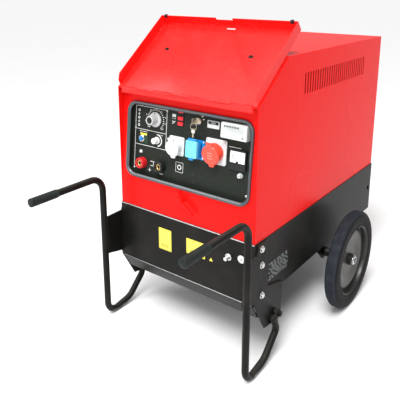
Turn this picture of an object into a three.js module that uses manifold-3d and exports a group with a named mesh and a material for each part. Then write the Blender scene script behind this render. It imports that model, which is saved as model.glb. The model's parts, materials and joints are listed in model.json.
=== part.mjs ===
// Engine driven welder on a two-wheel trolley: canopy, slanted control panel under a folding lid,
// base tray, bent tubes that are handle and front leg in one, and two wheels on a plain axle.
// Millimetres, +Z up, the control panel faces -Y. The origin is on the floor, under the middle of the box.
import * as THREE from "three";
import { mergeVertices } from "three/addons/utils/BufferGeometryUtils.js";
import Module from "manifold-3d";

const wasm = await Module();
wasm.setup();

// ---------------------------------------------------------------- driving dimensions
const GAP = 0.3; // between touching pieces
const BODY_WIDTH = 610; // base tray, outside
const BODY_LENGTH = 1040;
const GRIP_REACH = 394; // grip ends in front of the base tray
const FRONT = -(BODY_LENGTH - GRIP_REACH) / 2; // base tray's front face
const REAR = FRONT + BODY_LENGTH;
const BASE_BOTTOM = 245;
const BASE_TOP = 470;
const BASE_SHEET = 3;
const LIP = 22; // inward flange round the tray's top

const SHEET = 2; // canopy sheet
const INSET = 3; // canopy stands this far inside the tray's edge
const CANOPY_HALF = BODY_WIDTH / 2 - INSET;
const CANOPY_FRONT = FRONT + INSET;
const CANOPY_REAR = REAR - INSET;
const CANOPY_BOTTOM = BASE_TOP + GAP;
const HINGE_EDGE = 923; // height of the top front edge
const ROOF = 1063;
const BEVEL_RUN = 182;

const FOLD_HEIGHT = 563; // the fascia is upright below this and leans back above it
const RECESS = 33; // how far the fascia's top stands back
const FASCIA_TOP = 915;
const LEAN = Math.atan2(RECESS, FASCIA_TOP - FOLD_HEIGHT);
const LEAN_OUT = [0, -Math.cos(LEAN), Math.sin(LEAN)];
const LEAN_UP = [0, Math.sin(LEAN), Math.cos(LEAN)];

const PANEL_Z = 731; // height of the control panel's centre
const PANEL_DEPTH = 20; // control panel behind the fascia
const FRAME_WIDTH = 552; // rubber frame, outside
const FRAME_HEIGHT = 287;
const FRAME_BAND = 13;
const FRAME_CORNER = 42;

const LID_HALF = 296;
const LID_LENGTH = 345;
const LID_AXIS = [0, CANOPY_FRONT - 3, 926.5];
const LID_SKIN = 2.5; // inner face of the skin in front of the hinge axis
const LID_FLANGE = 36;
const LID_OPEN = THREE.MathUtils.degToRad(50.8); // open lid's lean back from upright
const HINGE_RADIUS = 4.5;
const HINGE_PIN = 2;

const WHEEL_Y = FRONT + 587;
const WHEEL_RADIUS = 200;
const WHEEL_X = 400; // middle of the tyre
const TYRE_HALF = 24;
const RIM_RADIUS = 142;
const WHEEL_SIDES = 28;
const AXLE_RADIUS = 12.5;

const PLATE = 6; // trolley bracket plate
const PLATE_X = BODY_WIDTH / 2 + GAP;
const TUBE_RADIUS = 12.5;
const TUBE_X = PLATE_X + PLATE + GAP + TUBE_RADIUS;
const TUBE_Y = FRONT - 76;
const GRIP_Z = 588;

// ---------------------------------------------------------------- finishes
function finish(color, roughness, metalness = 0) {
  return new THREE.MeshStandardMaterial({ color, roughness, metalness });
}

const RED = finish(0xd81216, 0.3);
const BLACK = finish(0x1b1a18, 0.45);
const RUBBER = finish(0x24282a, 0.8);
const STEEL = finish(0x8d9290, 0.35, 0.9);
const ZINC = finish(0xb9bcbc, 0.3, 1);
const PANEL_BLACK = finish(0x20251f, 0.5);
const SEAL_GREY = finish(0x6f7f84, 0.6);
const LIGHT_GREY = finish(0xcfd4d2, 0.4);
const WHITE = finish(0xf2f3f1, 0.35);
const BLUE = finish(0x1f6fc4, 0.35);
const SIGNAL_RED = finish(0xf0402c, 0.35);
const BRASS = finish(0xc9a24a, 0.3, 1);
const CAST = finish(0x6b6f72, 0.6, 0.5);
const CLEAR = finish(0xdfe8ea, 0.1);

// ---------------------------------------------------------------- solids
function solid(geometry) {
  const bare = new THREE.BufferGeometry();
  bare.setAttribute("position", (geometry.index ? geometry.toNonIndexed() : geometry).getAttribute("position"));
  const merged = mergeVertices(bare, 1e-3);
  const index = merged.index.array;
  const kept = [];
  for (let i = 0; i < index.length; i += 3) {
    const [a, b, c] = [index[i], index[i + 1], index[i + 2]];
    if (a !== b && b !== c && a !== c) kept.push(a, b, c);
  }
  return new wasm.Manifold(
    new wasm.Mesh({
      numProp: 3,
      vertProperties: merged.getAttribute("position").array,
      triVerts: new Uint32Array(kept),
    }),
  );
}

function geometryOf(body) {
  const mesh = body.getMesh();
  const geometry = new THREE.BufferGeometry();
  geometry.setAttribute("position", new THREE.BufferAttribute(new Float32Array(mesh.vertProperties), 3));
  geometry.setIndex(new THREE.BufferAttribute(new Uint32Array(mesh.triVerts), 1));
  geometry.computeVertexNormals();
  return geometry;
}

function box(x0, x1, y0, y1, z0, z1) {
  const geometry = new THREE.BoxGeometry(x1 - x0, y1 - y0, z1 - z0);
  return solid(geometry.translate((x0 + x1) / 2, (y0 + y1) / 2, (z0 + z1) / 2));
}

// a round bar along Z, tapered if two radii are given
function bar(radius, z0, z1, sides = 24, topRadius = radius) {
  const geometry = new THREE.CylinderGeometry(topRadius, radius, z1 - z0, sides);
  return solid(geometry.rotateX(Math.PI / 2).translate(0, 0, (z0 + z1) / 2));
}

function at(body, x, y, z = 0) {
  return body.translate([x, y, z]);
}

// a body made along Z, laid along X
function alongX(body) {
  return body.rotate([0, 90, 0]);
}

function outline(points) {
  return new THREE.Shape(points.map(([a, b]) => new THREE.Vector2(a, b)));
}

function roundedRect(width, height, radius, target = new THREE.Shape()) {
  const [w, h] = [width / 2, height / 2];
  target.moveTo(-w + radius, -h);
  target.lineTo(w - radius, -h);
  target.absarc(w - radius, -h + radius, radius, -Math.PI / 2, 0);
  target.lineTo(w, h - radius);
  target.absarc(w - radius, h - radius, radius, 0, Math.PI / 2);
  target.lineTo(-w + radius, h);
  target.absarc(-w + radius, h - radius, radius, Math.PI / 2, Math.PI);
  target.lineTo(-w, -h + radius);
  target.absarc(-w + radius, -h + radius, radius, Math.PI, 1.5 * Math.PI);
  return target;
}

function extrude(shape, z0, z1, curveSegments = 6) {
  const geometry = new THREE.ExtrudeGeometry(shape, { depth: z1 - z0, bevelEnabled: false, curveSegments });
  return solid(geometry.translate(0, 0, z0));
}

function slab(width, height, radius, z0, z1, curveSegments = 2) {
  return extrude(roundedRect(width, height, radius), z0, z1, curveSegments);
}

// a shape drawn in (y, z), extruded from x0 to x1
function acrossX(shape, x0, x1, curveSegments = 6) {
  const geometry = new THREE.ExtrudeGeometry(shape, { depth: x1 - x0, bevelEnabled: false, curveSegments });
  const turn = new THREE.Matrix4().makeBasis(
    new THREE.Vector3(0, 1, 0),
    new THREE.Vector3(0, 0, 1),
    new THREE.Vector3(1, 0, 0),
  );
  return solid(geometry.applyMatrix4(turn).translate(x0, 0, 0));
}

// a closed profile of (radius, height) turned about Z
function turned(profile, sides = 32) {
  const points = profile.map(([r, z]) => new THREE.Vector2(r, z));
  const ring = [...points, points[0]];
  const area = ring.slice(1).reduce((sum, p, i) => sum + ring[i].cross(p), 0);
  const ordered = area > 0 ? ring : ring.reverse();
  return solid(new THREE.LatheGeometry(ordered, sides).rotateX(Math.PI / 2));
}

// bent sheet: a polyline in (y, z) with its thickness to the left of the way it runs
function bentSheet(line, thickness) {
  const sides = [];
  for (let i = 0; i + 1 < line.length; i++) {
    const run = [line[i + 1][0] - line[i][0], line[i + 1][1] - line[i][1]];
    const length = Math.hypot(...run);
    sides.push([-run[1] / length, run[0] / length]);
  }
  const inner = line.map((point, i) => {
    const a = sides[Math.max(i - 1, 0)];
    const b = sides[Math.min(i, sides.length - 1)];
    const scale = thickness / (1 + a[0] * b[0] + a[1] * b[1]);
    return [point[0] + (a[0] + b[0]) * scale, point[1] + (a[1] + b[1]) * scale];
  });
  return outline([...line, ...inner.reverse()]);
}

// a path of straight runs and round bends, sampled only where it bends
class BentPath extends THREE.Curve {
  constructor(corners, radii, bendSteps = 5) {
    super();
    const at3 = (p) => new THREE.Vector3(...p);
    this.points = [at3(corners[0])];
    for (let i = 1; i + 1 < corners.length; i++) {
      const corner = at3(corners[i]);
      const back = at3(corners[i - 1]).sub(corner).normalize();
      const ahead = at3(corners[i + 1]).sub(corner).normalize();
      const half = back.angleTo(ahead) / 2;
      const centre = back.clone().add(ahead).normalize().multiplyScalar(radii[i - 1] / Math.sin(half)).add(corner);
      const from = corner.clone().addScaledVector(back, radii[i - 1] / Math.tan(half)).sub(centre);
      const axis = ahead.clone().cross(back).normalize();
      for (let k = 0; k <= bendSteps; k++) {
        const turn = ((Math.PI - 2 * half) * k) / bendSteps;
        this.points.push(from.clone().applyAxisAngle(axis, turn).add(centre));
      }
    }
    this.points.push(at3(corners[corners.length - 1]));
  }
  getPoint(t, target = new THREE.Vector3()) {
    const place = Math.min(Math.max(t, 0), 1) * (this.points.length - 1);
    const i = Math.min(Math.floor(place), this.points.length - 2);
    return target.lerpVectors(this.points[i], this.points[i + 1], place - i);
  }
  getPointAt(u, target) {
    return this.getPoint(u, target);
  }
  getTangentAt(u, target) {
    return this.getTangent(u, target);
  }
}

function bentTube(path, radius, sides = 10) {
  const section = new THREE.Shape();
  section.absarc(0, 0, radius, 0, 2 * Math.PI);
  return solid(
    new THREE.ExtrudeGeometry(section, {
      extrudePath: path,
      steps: path.points.length - 1,
      curveSegments: sides / 2,
      bevelEnabled: false,
    }),
  );
}

// ---------------------------------------------------------------- scene graph
const welder = new THREE.Group();

function place(name, body, material, parent = welder) {
  const mesh = new THREE.Mesh(geometryOf(body), material);
  mesh.name = name;
  parent.add(mesh);
  return mesh;
}

const SIDES = [
  ["left", -1],
  ["right", 1],
];

function mirrored(body, side) {
  return side > 0 ? body : body.mirror([1, 0, 0]);
}

// ---------------------------------------------------------------- base tray and trolley
function baseTray() {
  const half = BODY_WIDTH / 2;
  const wall = BASE_SHEET;
  const floor = BASE_BOTTOM + wall;
  const hollow = box(-half + wall, half - wall, FRONT + wall, REAR - wall, floor, BASE_TOP - wall);
  const mouth = box(-half + LIP, half - LIP, FRONT + LIP, REAR - LIP, floor, BASE_TOP + 10);
  const tieHole = at(alongX(bar(12, -half - 10, half + 10, 16)), 0, REAR - 27, 356);
  const earthBolt = bar(12, -1, 2, 20).add(bar(9, 2, 8, 6)).add(bar(6, 7, 22, 12));
  return box(-half, half, FRONT, REAR, BASE_BOTTOM, BASE_TOP)
    .subtract(hollow)
    .subtract(mouth)
    .subtract(tieHole)
    .add(at(earthBolt.rotate([90, 0, 0]), EARTH_X, FRONT, EARTH_Z));
}

const EARTH_X = 201;
const EARTH_Z = 397;

// folded plate under the tray's front edge, leaning back between the two brackets
function crossMember() {
  const top = BASE_BOTTOM - GAP;
  const line = [
    [FRONT + 60, top - 3],
    [FRONT + 1, top - 3],
    [FRONT + 36, top - 62],
    [FRONT + 58, top - 62],
  ];
  return acrossX(bentSheet(line, 3), -BODY_WIDTH / 2 + 6, BODY_WIDTH / 2 - 6);
}

const LEG_BOLT = [FRONT + 136, 160];

// plate on the tray's side: it carries the tube in front and the leg's rear end below
function bracket(side) {
  const plate = new THREE.Shape(
    outline([
      [TUBE_Y, 278],
      [FRONT - 2, 262],
      [FRONT + 2, 243],
      [FRONT + 64, 133],
      [FRONT + 152, 122],
      [FRONT + 180, 152],
      [FRONT + 183, 243],
      [FRONT + 183, 262],
      [FRONT + 78, 290],
      [FRONT + 70, 466],
      [FRONT + 12, 466],
      [FRONT + 2, 432],
      [TUBE_Y, 430],
    ]).getPoints(),
  );
  let body = acrossX(plate, PLATE_X, PLATE_X + PLATE);
  for (const [y, z] of [[FRONT + 30, 448], [FRONT + 33, 389], [FRONT + 38, 275]]) {
    const head = alongX(bar(9, PLATE_X + PLATE - 1, PLATE_X + PLATE + 7, 6));
    body = body.add(at(head, 0, y, z));
  }
  const boss = bar(13, PLATE_X + PLATE - 1, TUBE_X - 4.3, 16);
  const shank = bar(6, PLATE_X + PLATE - 1, TUBE_X + 5, 12);
  const head = bar(10, TUBE_X + 4.3, TUBE_X + 11.5, 6);
  const legBolt = at(alongX(boss.add(shank).add(head)), 0, ...LEG_BOLT);
  return mirrored(body.add(legBolt), side);
}

function handleTube(side) {
  const x = TUBE_X;
  const path = new BentPath(
    [
      [x, FRONT - GRIP_REACH + 6, GRIP_Z],
      [x, TUBE_Y, GRIP_Z],
      [x, TUBE_Y, 3.4],
      [x, FRONT + 47, 25],
      [x, FRONT + 128, 104],
      [x, FRONT + 106, 152],
    ],
    [55, 45, 60, 26],
  );
  const tube = bentTube(path, TUBE_RADIUS);
  const eye = at(alongX(bar(14, x - 4, x + 4, 20)), 0, ...LEG_BOLT);
  const hole = at(alongX(bar(6.5, x - 20, x + 20, 12)), 0, ...LEG_BOLT);
  const [y, z] = LEG_BOLT;
  const lug = outline([
    [FRONT + 100, 138],
    [y + 4, z - 13.4],
    [y - 6, z + 12.6],
    [FRONT + 98, 152],
  ]);
  return mirrored(tube.add(acrossX(lug, x - 4, x + 4)).add(eye).subtract(hole), side);
}

function grip(side) {
  const front = FRONT - GRIP_REACH;
  const profile = [
    [0, 0],
    [13, 0],
    [15.6, 2.6],
    [15.6, 8],
    [14.8, 10],
    [15.4, 14],
    [15.4, 104],
    [14.2, 112],
    [TUBE_RADIUS + 2 * GAP, 112],
    [TUBE_RADIUS + 2 * GAP, 5.5],
    [0, 5.5],
  ];
  return mirrored(at(turned(profile, 14).rotate([-90, 0, 0]), TUBE_X, front, GRIP_Z), side);
}

// ---------------------------------------------------------------- axle and wheels
function axle() {
  return at(alongX(bar(AXLE_RADIUS, -WHEEL_X - 22, WHEEL_X + 22, 16)), 0, WHEEL_Y, WHEEL_RADIUS);
}

const AXLE_PLATE_X = 296;

function axleBracket(side) {
  const shape = outline([
    [WHEEL_Y - 95, BASE_BOTTOM - GAP],
    [WHEEL_Y - 26, WHEEL_RADIUS - 22],
    [WHEEL_Y + 26, WHEEL_RADIUS - 22],
    [WHEEL_Y + 95, BASE_BOTTOM - GAP],
  ]);
  const plate = acrossX(shape, AXLE_PLATE_X - 6, AXLE_PLATE_X);
  const flange = box(AXLE_PLATE_X - 40, AXLE_PLATE_X, WHEEL_Y - 95, WHEEL_Y + 95, BASE_BOTTOM - 6, BASE_BOTTOM - GAP);
  const collar = at(alongX(bar(19, AXLE_PLATE_X - 26, AXLE_PLATE_X + 26, 16)), 0, WHEEL_Y, WHEEL_RADIUS);
  const bore = at(alongX(bar(AXLE_RADIUS + GAP, 200, 400, 16)), 0, WHEEL_Y, WHEEL_RADIUS);
  return mirrored(plate.add(flange).add(collar).subtract(bore), side);
}

function aboutAxle(body, side) {
  return mirrored(at(alongX(body), WHEEL_X, WHEEL_Y, WHEEL_RADIUS), side);
}

function tyre(side) {
  const bore = RIM_RADIUS + GAP;
  const profile = [
    [bore, -20],
    [150, -TYRE_HALF],
    [184, -TYRE_HALF],
    [195, -20],
    [WHEEL_RADIUS, -12],
    [WHEEL_RADIUS, 12],
    [195, 20],
    [184, TYRE_HALF],
    [150, TYRE_HALF],
    [bore, 20],
  ];
  return aboutAxle(turned(profile, WHEEL_SIDES), side);
}

const HUB_BORE = 16.3;

// pressed steel: rim band with rolled edges, dished disc and hub tube
function rim(side) {
  const profile = [
    [HUB_BORE, -26],
    [24, -26],
    [24, -4],
    [62, -6],
    [96, 3],
    [118, 3],
    [130, -8],
    [137, -8],
    [137, -22],
    [RIM_RADIUS, -22],
    [RIM_RADIUS, 22],
    [139, 22.5],
    [137, 20],
    [137, -4],
    [131, -4],
    [119, 7],
    [95, 7],
    [61, -2],
    [24, 0],
    [24, 14],
    [HUB_BORE, 14],
  ];
  return aboutAxle(turned(profile, WHEEL_SIDES), side);
}

function hubBush(side) {
  const profile = [
    [AXLE_RADIUS + GAP, -29],
    [20, -29],
    [20, -26.3],
    [HUB_BORE - GAP, -26.3],
    [HUB_BORE - GAP, 14.3],
    [20, 14.3],
    [20, 16],
    [AXLE_RADIUS + GAP, 16],
  ];
  return aboutAxle(turned(profile, 16), side);
}

// nut with its washer on the axle's end
function hubNut(side) {
  const washer = bar(19, 16.3, 18.5, 20);
  const nut = bar(17, 18.4, 23.4, 6);
  const bore = bar(AXLE_RADIUS + GAP, 0, 22.4, 16);
  return aboutAxle(washer.add(nut).subtract(bore), side);
}

// ---------------------------------------------------------------- canopy
const GRILLE_FRONT = CANOPY_FRONT + 302;
const SLOTS = 28;
const SLOT_PITCH = 19.8;
const SLOT_WIDTH = 9;
const SLOT_FOOT = 918;

function sidePanel(side) {
  const shape = outline([
    [CANOPY_FRONT, CANOPY_BOTTOM],
    [CANOPY_REAR, CANOPY_BOTTOM],
    [CANOPY_REAR, ROOF],
    [CANOPY_FRONT + BEVEL_RUN, ROOF],
    [CANOPY_FRONT, HINGE_EDGE],
  ]);
  let body = acrossX(shape, CANOPY_HALF - SHEET, CANOPY_HALF);
  for (let i = 0; i < SLOTS; i++) {
    const y = GRILLE_FRONT + i * SLOT_PITCH;
    body = body.subtract(box(CANOPY_HALF - 10, CANOPY_HALF + 10, y, y + SLOT_WIDTH, SLOT_FOOT, SLOT_FOOT + 75));
  }
  return mirrored(body, side);
}

const INNER_HALF = CANOPY_HALF - SHEET - GAP;
const LIP_HALF = 284; // the lid's side flanges swing past outside this

function roofPanel() {
  const line = [
    [CANOPY_REAR - SHEET - GAP, ROOF],
    [CANOPY_FRONT + BEVEL_RUN, ROOF],
    [CANOPY_FRONT, HINGE_EDGE],
    [CANOPY_FRONT, HINGE_EDGE - 20],
  ];
  let body = acrossX(bentSheet(line, SHEET), -INNER_HALF, INNER_HALF);
  for (const [, side] of SIDES) {
    const relief = box(LIP_HALF, 320, FRONT - 20, CANOPY_FRONT + 5, 880, HINGE_EDGE - 2.5);
    body = body.subtract(mirrored(relief, side));
  }
  return body;
}

function rearPanel() {
  let body = box(-INNER_HALF, INNER_HALF, CANOPY_REAR - SHEET, CANOPY_REAR, CANOPY_BOTTOM, ROOF);
  for (let i = 0; i < 11; i++) {
    const z = 640 + i * 18;
    body = body.subtract(box(-190, 190, CANOPY_REAR - 10, CANOPY_REAR + 10, z, z + 9));
  }
  const exhaust = at(bar(34, -20, 20, 28).rotate([90, 0, 0]), -170, CANOPY_REAR, 940);
  return body.subtract(exhaust);
}

function onLean(x, v, out) {
  const base = [0, CANOPY_FRONT + (PANEL_Z - FOLD_HEIGHT) * Math.tan(LEAN), PANEL_Z];
  return [x, base[1] + v * LEAN_UP[1] + out * LEAN_OUT[1], base[2] + v * LEAN_UP[2] + out * LEAN_OUT[2]];
}

// a body made on the (x, y) plane facing +Z, stood up on the fascia's slant
function stoodUp(body, x = 0, v = 0, out = 0) {
  return body.rotate([90 - THREE.MathUtils.radToDeg(LEAN), 0, 0]).translate(onLean(x, v, out));
}

const OPENING_WIDTH = FRAME_WIDTH - 2 * FRAME_BAND + 6;
const OPENING_HEIGHT = FRAME_HEIGHT - 2 * FRAME_BAND + 6;
const OPENING_CORNER = FRAME_CORNER - FRAME_BAND + 3;

function frontFascia() {
  const line = [
    [CANOPY_FRONT + 3, FASCIA_TOP],
    [CANOPY_FRONT + RECESS, FASCIA_TOP],
    [CANOPY_FRONT, FOLD_HEIGHT],
    [CANOPY_FRONT, CANOPY_BOTTOM],
    [CANOPY_FRONT + 18, CANOPY_BOTTOM],
  ];
  let body = acrossX(bentSheet(line, SHEET), -INNER_HALF, INNER_HALF);
  for (const [, side] of SIDES) {
    const relief = box(LIP_HALF, 320, FRONT, CANOPY_FRONT + RECESS - 2, FASCIA_TOP - 10, FASCIA_TOP + 10);
    body = body.subtract(mirrored(relief, side));
  }
  const opening = stoodUp(slab(OPENING_WIDTH, OPENING_HEIGHT, OPENING_CORNER, -20, 20, 4));
  const latchHole = at(bar(7.5, -20, 20, 16).rotate([90, 0, 0]), 0, CANOPY_FRONT, LATCH_Z);
  return body.subtract(opening).subtract(latchHole);
}

// ---------------------------------------------------------------- lid
// The lid is drawn closed and flat: u runs down from the hinge axis, v inwards, then it is turned open.
const LID_SWING = Math.PI + LID_OPEN - LEAN;

function hungLid(body) {
  // drawn with x = x, y = v inwards, z = -u, then leant like the closed lid and swung open
  const lean = THREE.MathUtils.radToDeg(-LEAN);
  const swing = THREE.MathUtils.radToDeg(-LID_SWING);
  return body.rotate([lean + swing, 0, 0]).translate(LID_AXIS);
}

const KNUCKLES = 7;

// alternate knuckles of the long hinge; the even ones belong to the fixed leaf
function knuckles(which) {
  const pitch = (2 * (LIP_HALF - 4)) / KNUCKLES;
  let body = null;
  for (let i = which; i < KNUCKLES; i += 2) {
    const from = -LIP_HALF + 4 + i * pitch;
    const one = alongX(bar(HINGE_RADIUS, from + 1, from + pitch - 1, 10));
    body = body ? body.add(one) : one;
  }
  return body;
}

function lid() {
  const face = -LID_SKIN;
  const skin = box(-LID_HALF, LID_HALF, face - SHEET, face, -LID_LENGTH, -3);
  const end = box(-LID_HALF, LID_HALF, face - SHEET, face + LID_FLANGE, -LID_LENGTH, -LID_LENGTH + SHEET);
  const flangeShape = outline([
    [face - SHEET, -8],
    [face - SHEET, -LID_LENGTH],
    [face + LID_FLANGE, -LID_LENGTH],
    [face + LID_FLANGE, -34],
    [face + LID_FLANGE - 16, -14],
    [face, -8],
  ]);
  const flange = acrossX(flangeShape, LID_HALF - SHEET, LID_HALF);
  const notch = box(-36, 36, face + LID_FLANGE - 9, face + LID_FLANGE + 5, -LID_LENGTH - 5, -LID_LENGTH + 5);
  const slot = box(6, 44, face - 5, face + 3, -LID_LENGTH + 12, -LID_LENGTH + 20);
  const leafGap = [];
  const pitch = (2 * (LIP_HALF - 4)) / KNUCKLES;
  for (let i = 0; i < KNUCKLES; i += 2) {
    const from = -LIP_HALF + 4 + i * pitch;
    leafGap.push(box(from, from + pitch, -HINGE_RADIUS - 2, HINGE_RADIUS + 2, -HINGE_RADIUS - 1.5, 9));
  }
  let body = skin.add(end).add(flange).add(mirrored(flange, -1)).subtract(notch).subtract(slot);
  body = body.add(knuckles(1));
  for (const gap of leafGap) body = body.subtract(gap);
  body = body.subtract(alongX(bar(HINGE_PIN + GAP, -400, 400, 10)));
  return hungLid(body);
}

// fixed leaf on the roof's front edge, with its knuckles and the pin through all of them
function lidHinge() {
  const pin = alongX(bar(HINGE_PIN, -LIP_HALF + 2, LIP_HALF - 2, 10));
  const axisY = LID_AXIS[1];
  const leafFace = CANOPY_FRONT - GAP;
  const leaf = box(-LIP_HALF + 4, LIP_HALF - 4, leafFace - 1.4, leafFace, 905, LID_AXIS[2]);
  let body = at(knuckles(0).add(pin), ...LID_AXIS);
  const pitch = (2 * (LIP_HALF - 4)) / KNUCKLES;
  let cutLeaf = leaf;
  for (let i = 1; i < KNUCKLES; i += 2) {
    const from = -LIP_HALF + 4 + i * pitch;
    const room = HINGE_RADIUS + 1.2;
    cutLeaf = cutLeaf.subtract(box(from, from + pitch, axisY - 10, axisY + 10, LID_AXIS[2] - room, 940));
  }
  return body.add(cutLeaf);
}

function lidBuffer(side) {
  const rimEdge = -LID_SKIN + LID_FLANGE;
  const x = 274;
  const body = box(x - 6, x + 6, rimEdge - 8, rimEdge + 2.6, -LID_LENGTH - 4, -LID_LENGTH + 6);
  const groove = box(x - 8, x + 8, rimEdge - 12, rimEdge + GAP, -LID_LENGTH - GAP, -LID_LENGTH + SHEET + GAP);
  return hungLid(mirrored(body.subtract(groove), side));
}

const LATCH_Z = 556;

function latchLever() {
  const hub = bar(13, 6, 26, 24);
  const shaft = bar(6, -14, 7, 16);
  const arm = slab(74, 14, 6.5, 14, 22);
  const tongue = slab(33, 18, 6, 4.5, 10);
  const lever = hub.add(shaft).add(at(arm, 34, 0)).add(at(tongue, -12.5, 0));
  return at(lever.rotate([0, 0, -38]).rotate([90, 0, 0]), 0, CANOPY_FRONT, LATCH_Z);
}

// ---------------------------------------------------------------- control panel
function panelFrame() {
  const shape = roundedRect(FRAME_WIDTH, FRAME_HEIGHT, FRAME_CORNER);
  const hole = roundedRect(
    FRAME_WIDTH - 2 * FRAME_BAND,
    FRAME_HEIGHT - 2 * FRAME_BAND,
    FRAME_CORNER - FRAME_BAND,
    new THREE.Path(),
  );
  shape.holes.push(hole);
  const band = extrude(shape, GAP, 6, 4);
  const crownShape = roundedRect(FRAME_WIDTH - 5, FRAME_HEIGHT - 5, FRAME_CORNER - 2.5);
  const crownHole = roundedRect(
    FRAME_WIDTH - 2 * FRAME_BAND + 5,
    FRAME_HEIGHT - 2 * FRAME_BAND + 5,
    FRAME_CORNER - FRAME_BAND + 2.5,
    new THREE.Path(),
  );
  crownShape.holes.push(crownHole);
  return stoodUp(band.add(extrude(crownShape, 5, 9, 4)));
}

const TRAY_WALL = 2.5;

function controlPanel() {
  const outer = slab(OPENING_WIDTH + 16, OPENING_HEIGHT + 16, OPENING_CORNER + 8, -PANEL_DEPTH - 3, -SHEET - GAP, 4);
  const inner = slab(
    OPENING_WIDTH + 16 - 2 * TRAY_WALL,
    OPENING_HEIGHT + 16 - 2 * TRAY_WALL,
    OPENING_CORNER + 8 - TRAY_WALL,
    -PANEL_DEPTH,
    10,
    4,
  );
  let body = outer.subtract(inner);
  const indicator = bar(5.5, -PANEL_DEPTH - 1, -PANEL_DEPTH + 6, 12, 3.4);
  body = body.add(at(bar(12.5, -PANEL_DEPTH - 1, -PANEL_DEPTH + 5, 20), ...BUTTON_AT)).add(at(indicator, ...INDICATOR_AT));
  for (const [x, v, radius] of PANEL_HOLES) {
    body = body.subtract(at(bar(radius, -PANEL_DEPTH - 10, 0, 16), x, v));
  }
  return stoodUp(body);
}

// x and v of each item from the panel's centre
const KNOB_AT = [-158, 81];
const SMALL_KNOB_AT = [-147, 5];
const BUTTON_AT = [-221, 1];
const INDICATOR_AT = [-223, -49];
const PLUS_AT = [-212, -90];
const MINUS_AT = [-120, -87];
const LAMPS_AT = [-40, 106];
const KEY_AT = [35, 106];
const HOURS_AT = [102, 103];
const BREAKER_AT = [200, 98];
const WHITE_AT = [-52, 3];
const BLUE_AT = [38, 7];
const RED_AT = [119, 14];
const METER_AT = [211, 3];
const FUSE_AT = [221, -48];
const SHAFT_HOLE = 5.4;

const PANEL_HOLES = [
  [...KNOB_AT, SHAFT_HOLE],
  [...SMALL_KNOB_AT, SHAFT_HOLE],
  [...BUTTON_AT, 8.4],
  [...PLUS_AT, 15.4],
  [...MINUS_AT, 15.4],
  [...KEY_AT, 11.4],
];

function onPanel(body, [x, v]) {
  return stoodUp(body, x, v, -PANEL_DEPTH);
}

function ribbedKnob(radius, height, skirtRadius, skirt) {
  const shape = new THREE.Shape();
  const flutes = 12;
  for (let i = 0; i < flutes * 2; i++) {
    const angle = (i * Math.PI) / flutes;
    const r = i % 2 ? radius * 0.93 : radius;
    const [x, y] = [r * Math.cos(angle), r * Math.sin(angle)];
    if (i) shape.lineTo(x, y);
    else shape.moveTo(x, y);
  }
  shape.closePath();
  const plate = bar(skirtRadius, 1, skirt, 24, skirtRadius * 0.94);
  const shaft = bar(SHAFT_HOLE - 0.4, -12, 2, 16);
  return plate.add(extrude(shape, skirt - 0.5, height)).add(shaft);
}

function currentKnob() {
  const pointer = box(-1.6, 1.6, 8, 26, 4, 8);
  return onPanel(ribbedKnob(17, 36, 28, 7).add(pointer), KNOB_AT);
}

function arcKnob() {
  return onPanel(ribbedKnob(11, 22, 14, 4), SMALL_KNOB_AT);
}

function pushButton() {
  const cap = bar(8, -14, 11, 20);
  return onPanel(cap, BUTTON_AT);
}

function weldingSocket([x, v], radius) {
  const collar = [
    [7, GAP],
    [radius, GAP],
    [radius, 20],
    [radius - 2.5, 25],
    [13, 25],
    [13, 4],
    [7, 4],
  ];
  const rear = turned(
    [
      [7, -34],
      [15, -34],
      [15, 3],
      [7, 3],
    ],
    20,
  );
  return onPanel(turned(collar, 20).add(rear), [x, v]);
}

function socketInsert(spot) {
  const profile = [
    [6.6, -30],
    [6.6, 4.3],
    [12.4, 4.3],
    [12.4, 19],
    [6, 19],
    [6, -20],
    [0, -20],
    [0, -30],
  ];
  return onPanel(turned(profile, 16), spot);
}

function lampStrip() {
  let body = box(-13.5, 13.5, -31, 31, GAP, 2);
  for (const v of [21, -2, -22]) body = body.add(box(-12, 12, v - 6.5, v + 6.5, 1.9, 5));
  return onPanel(body, [LAMPS_AT[0], LAMPS_AT[1]]);
}

function keySwitch() {
  const bezel = turned(
    [
      [3.4, GAP],
      [15, GAP],
      [15, 3.5],
      [11, 9],
      [3.4, 9],
    ],
    16,
  );
  const barrel = turned(
    [
      [3.4, -26],
      [11, -26],
      [11, 1],
      [3.4, 1],
    ],
    16,
  );
  return onPanel(bezel.add(barrel), KEY_AT);
}

function key() {
  const blade = bar(3, -15, 12, 12);
  const bow = slab(1.8, 24, 0.8, 11, 34).subtract(at(alongX(bar(4.5, -10, 10, 12)), 0, -5, 25));
  return onPanel(blade.add(bow), KEY_AT);
}

const RING_RADIUS = 13;

// split ring through the key's bow, with a spare key hanging on it
function keyRing() {
  const wire = 0.8;
  const ring = solid(new THREE.TorusGeometry(RING_RADIUS, wire, 6, 16));
  const spare = slab(15, 17, 5, -0.8, 0.8).subtract(bar(4, -5, 5, 12));
  const blade = slab(5.5, 16, 1.5, -0.8, 0.8);
  const hanging = at(spare, 0, -RING_RADIUS - 2).add(at(blade, 0, -RING_RADIUS - 16));
  return onPanel(at(ring.add(hanging), 0, -5 - RING_RADIUS, 25), KEY_AT);
}

function hourMeter() {
  const bezel = slab(49, 26, 2.5, GAP, 4).subtract(slab(42, 18, 1, 3, 8));
  return onPanel(bezel, HOURS_AT);
}

const BREAKER_W = 100;
const BREAKER_H = 52;

function breakerBox() {
  const shell = slab(BREAKER_W, BREAKER_H, 3, GAP, 27);
  const window = slab(BREAKER_W - 14, 36, 1.5, 9, 40);
  return onPanel(at(shell, 0, 0).subtract(at(window, 0, -2)), BREAKER_AT);
}

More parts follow.
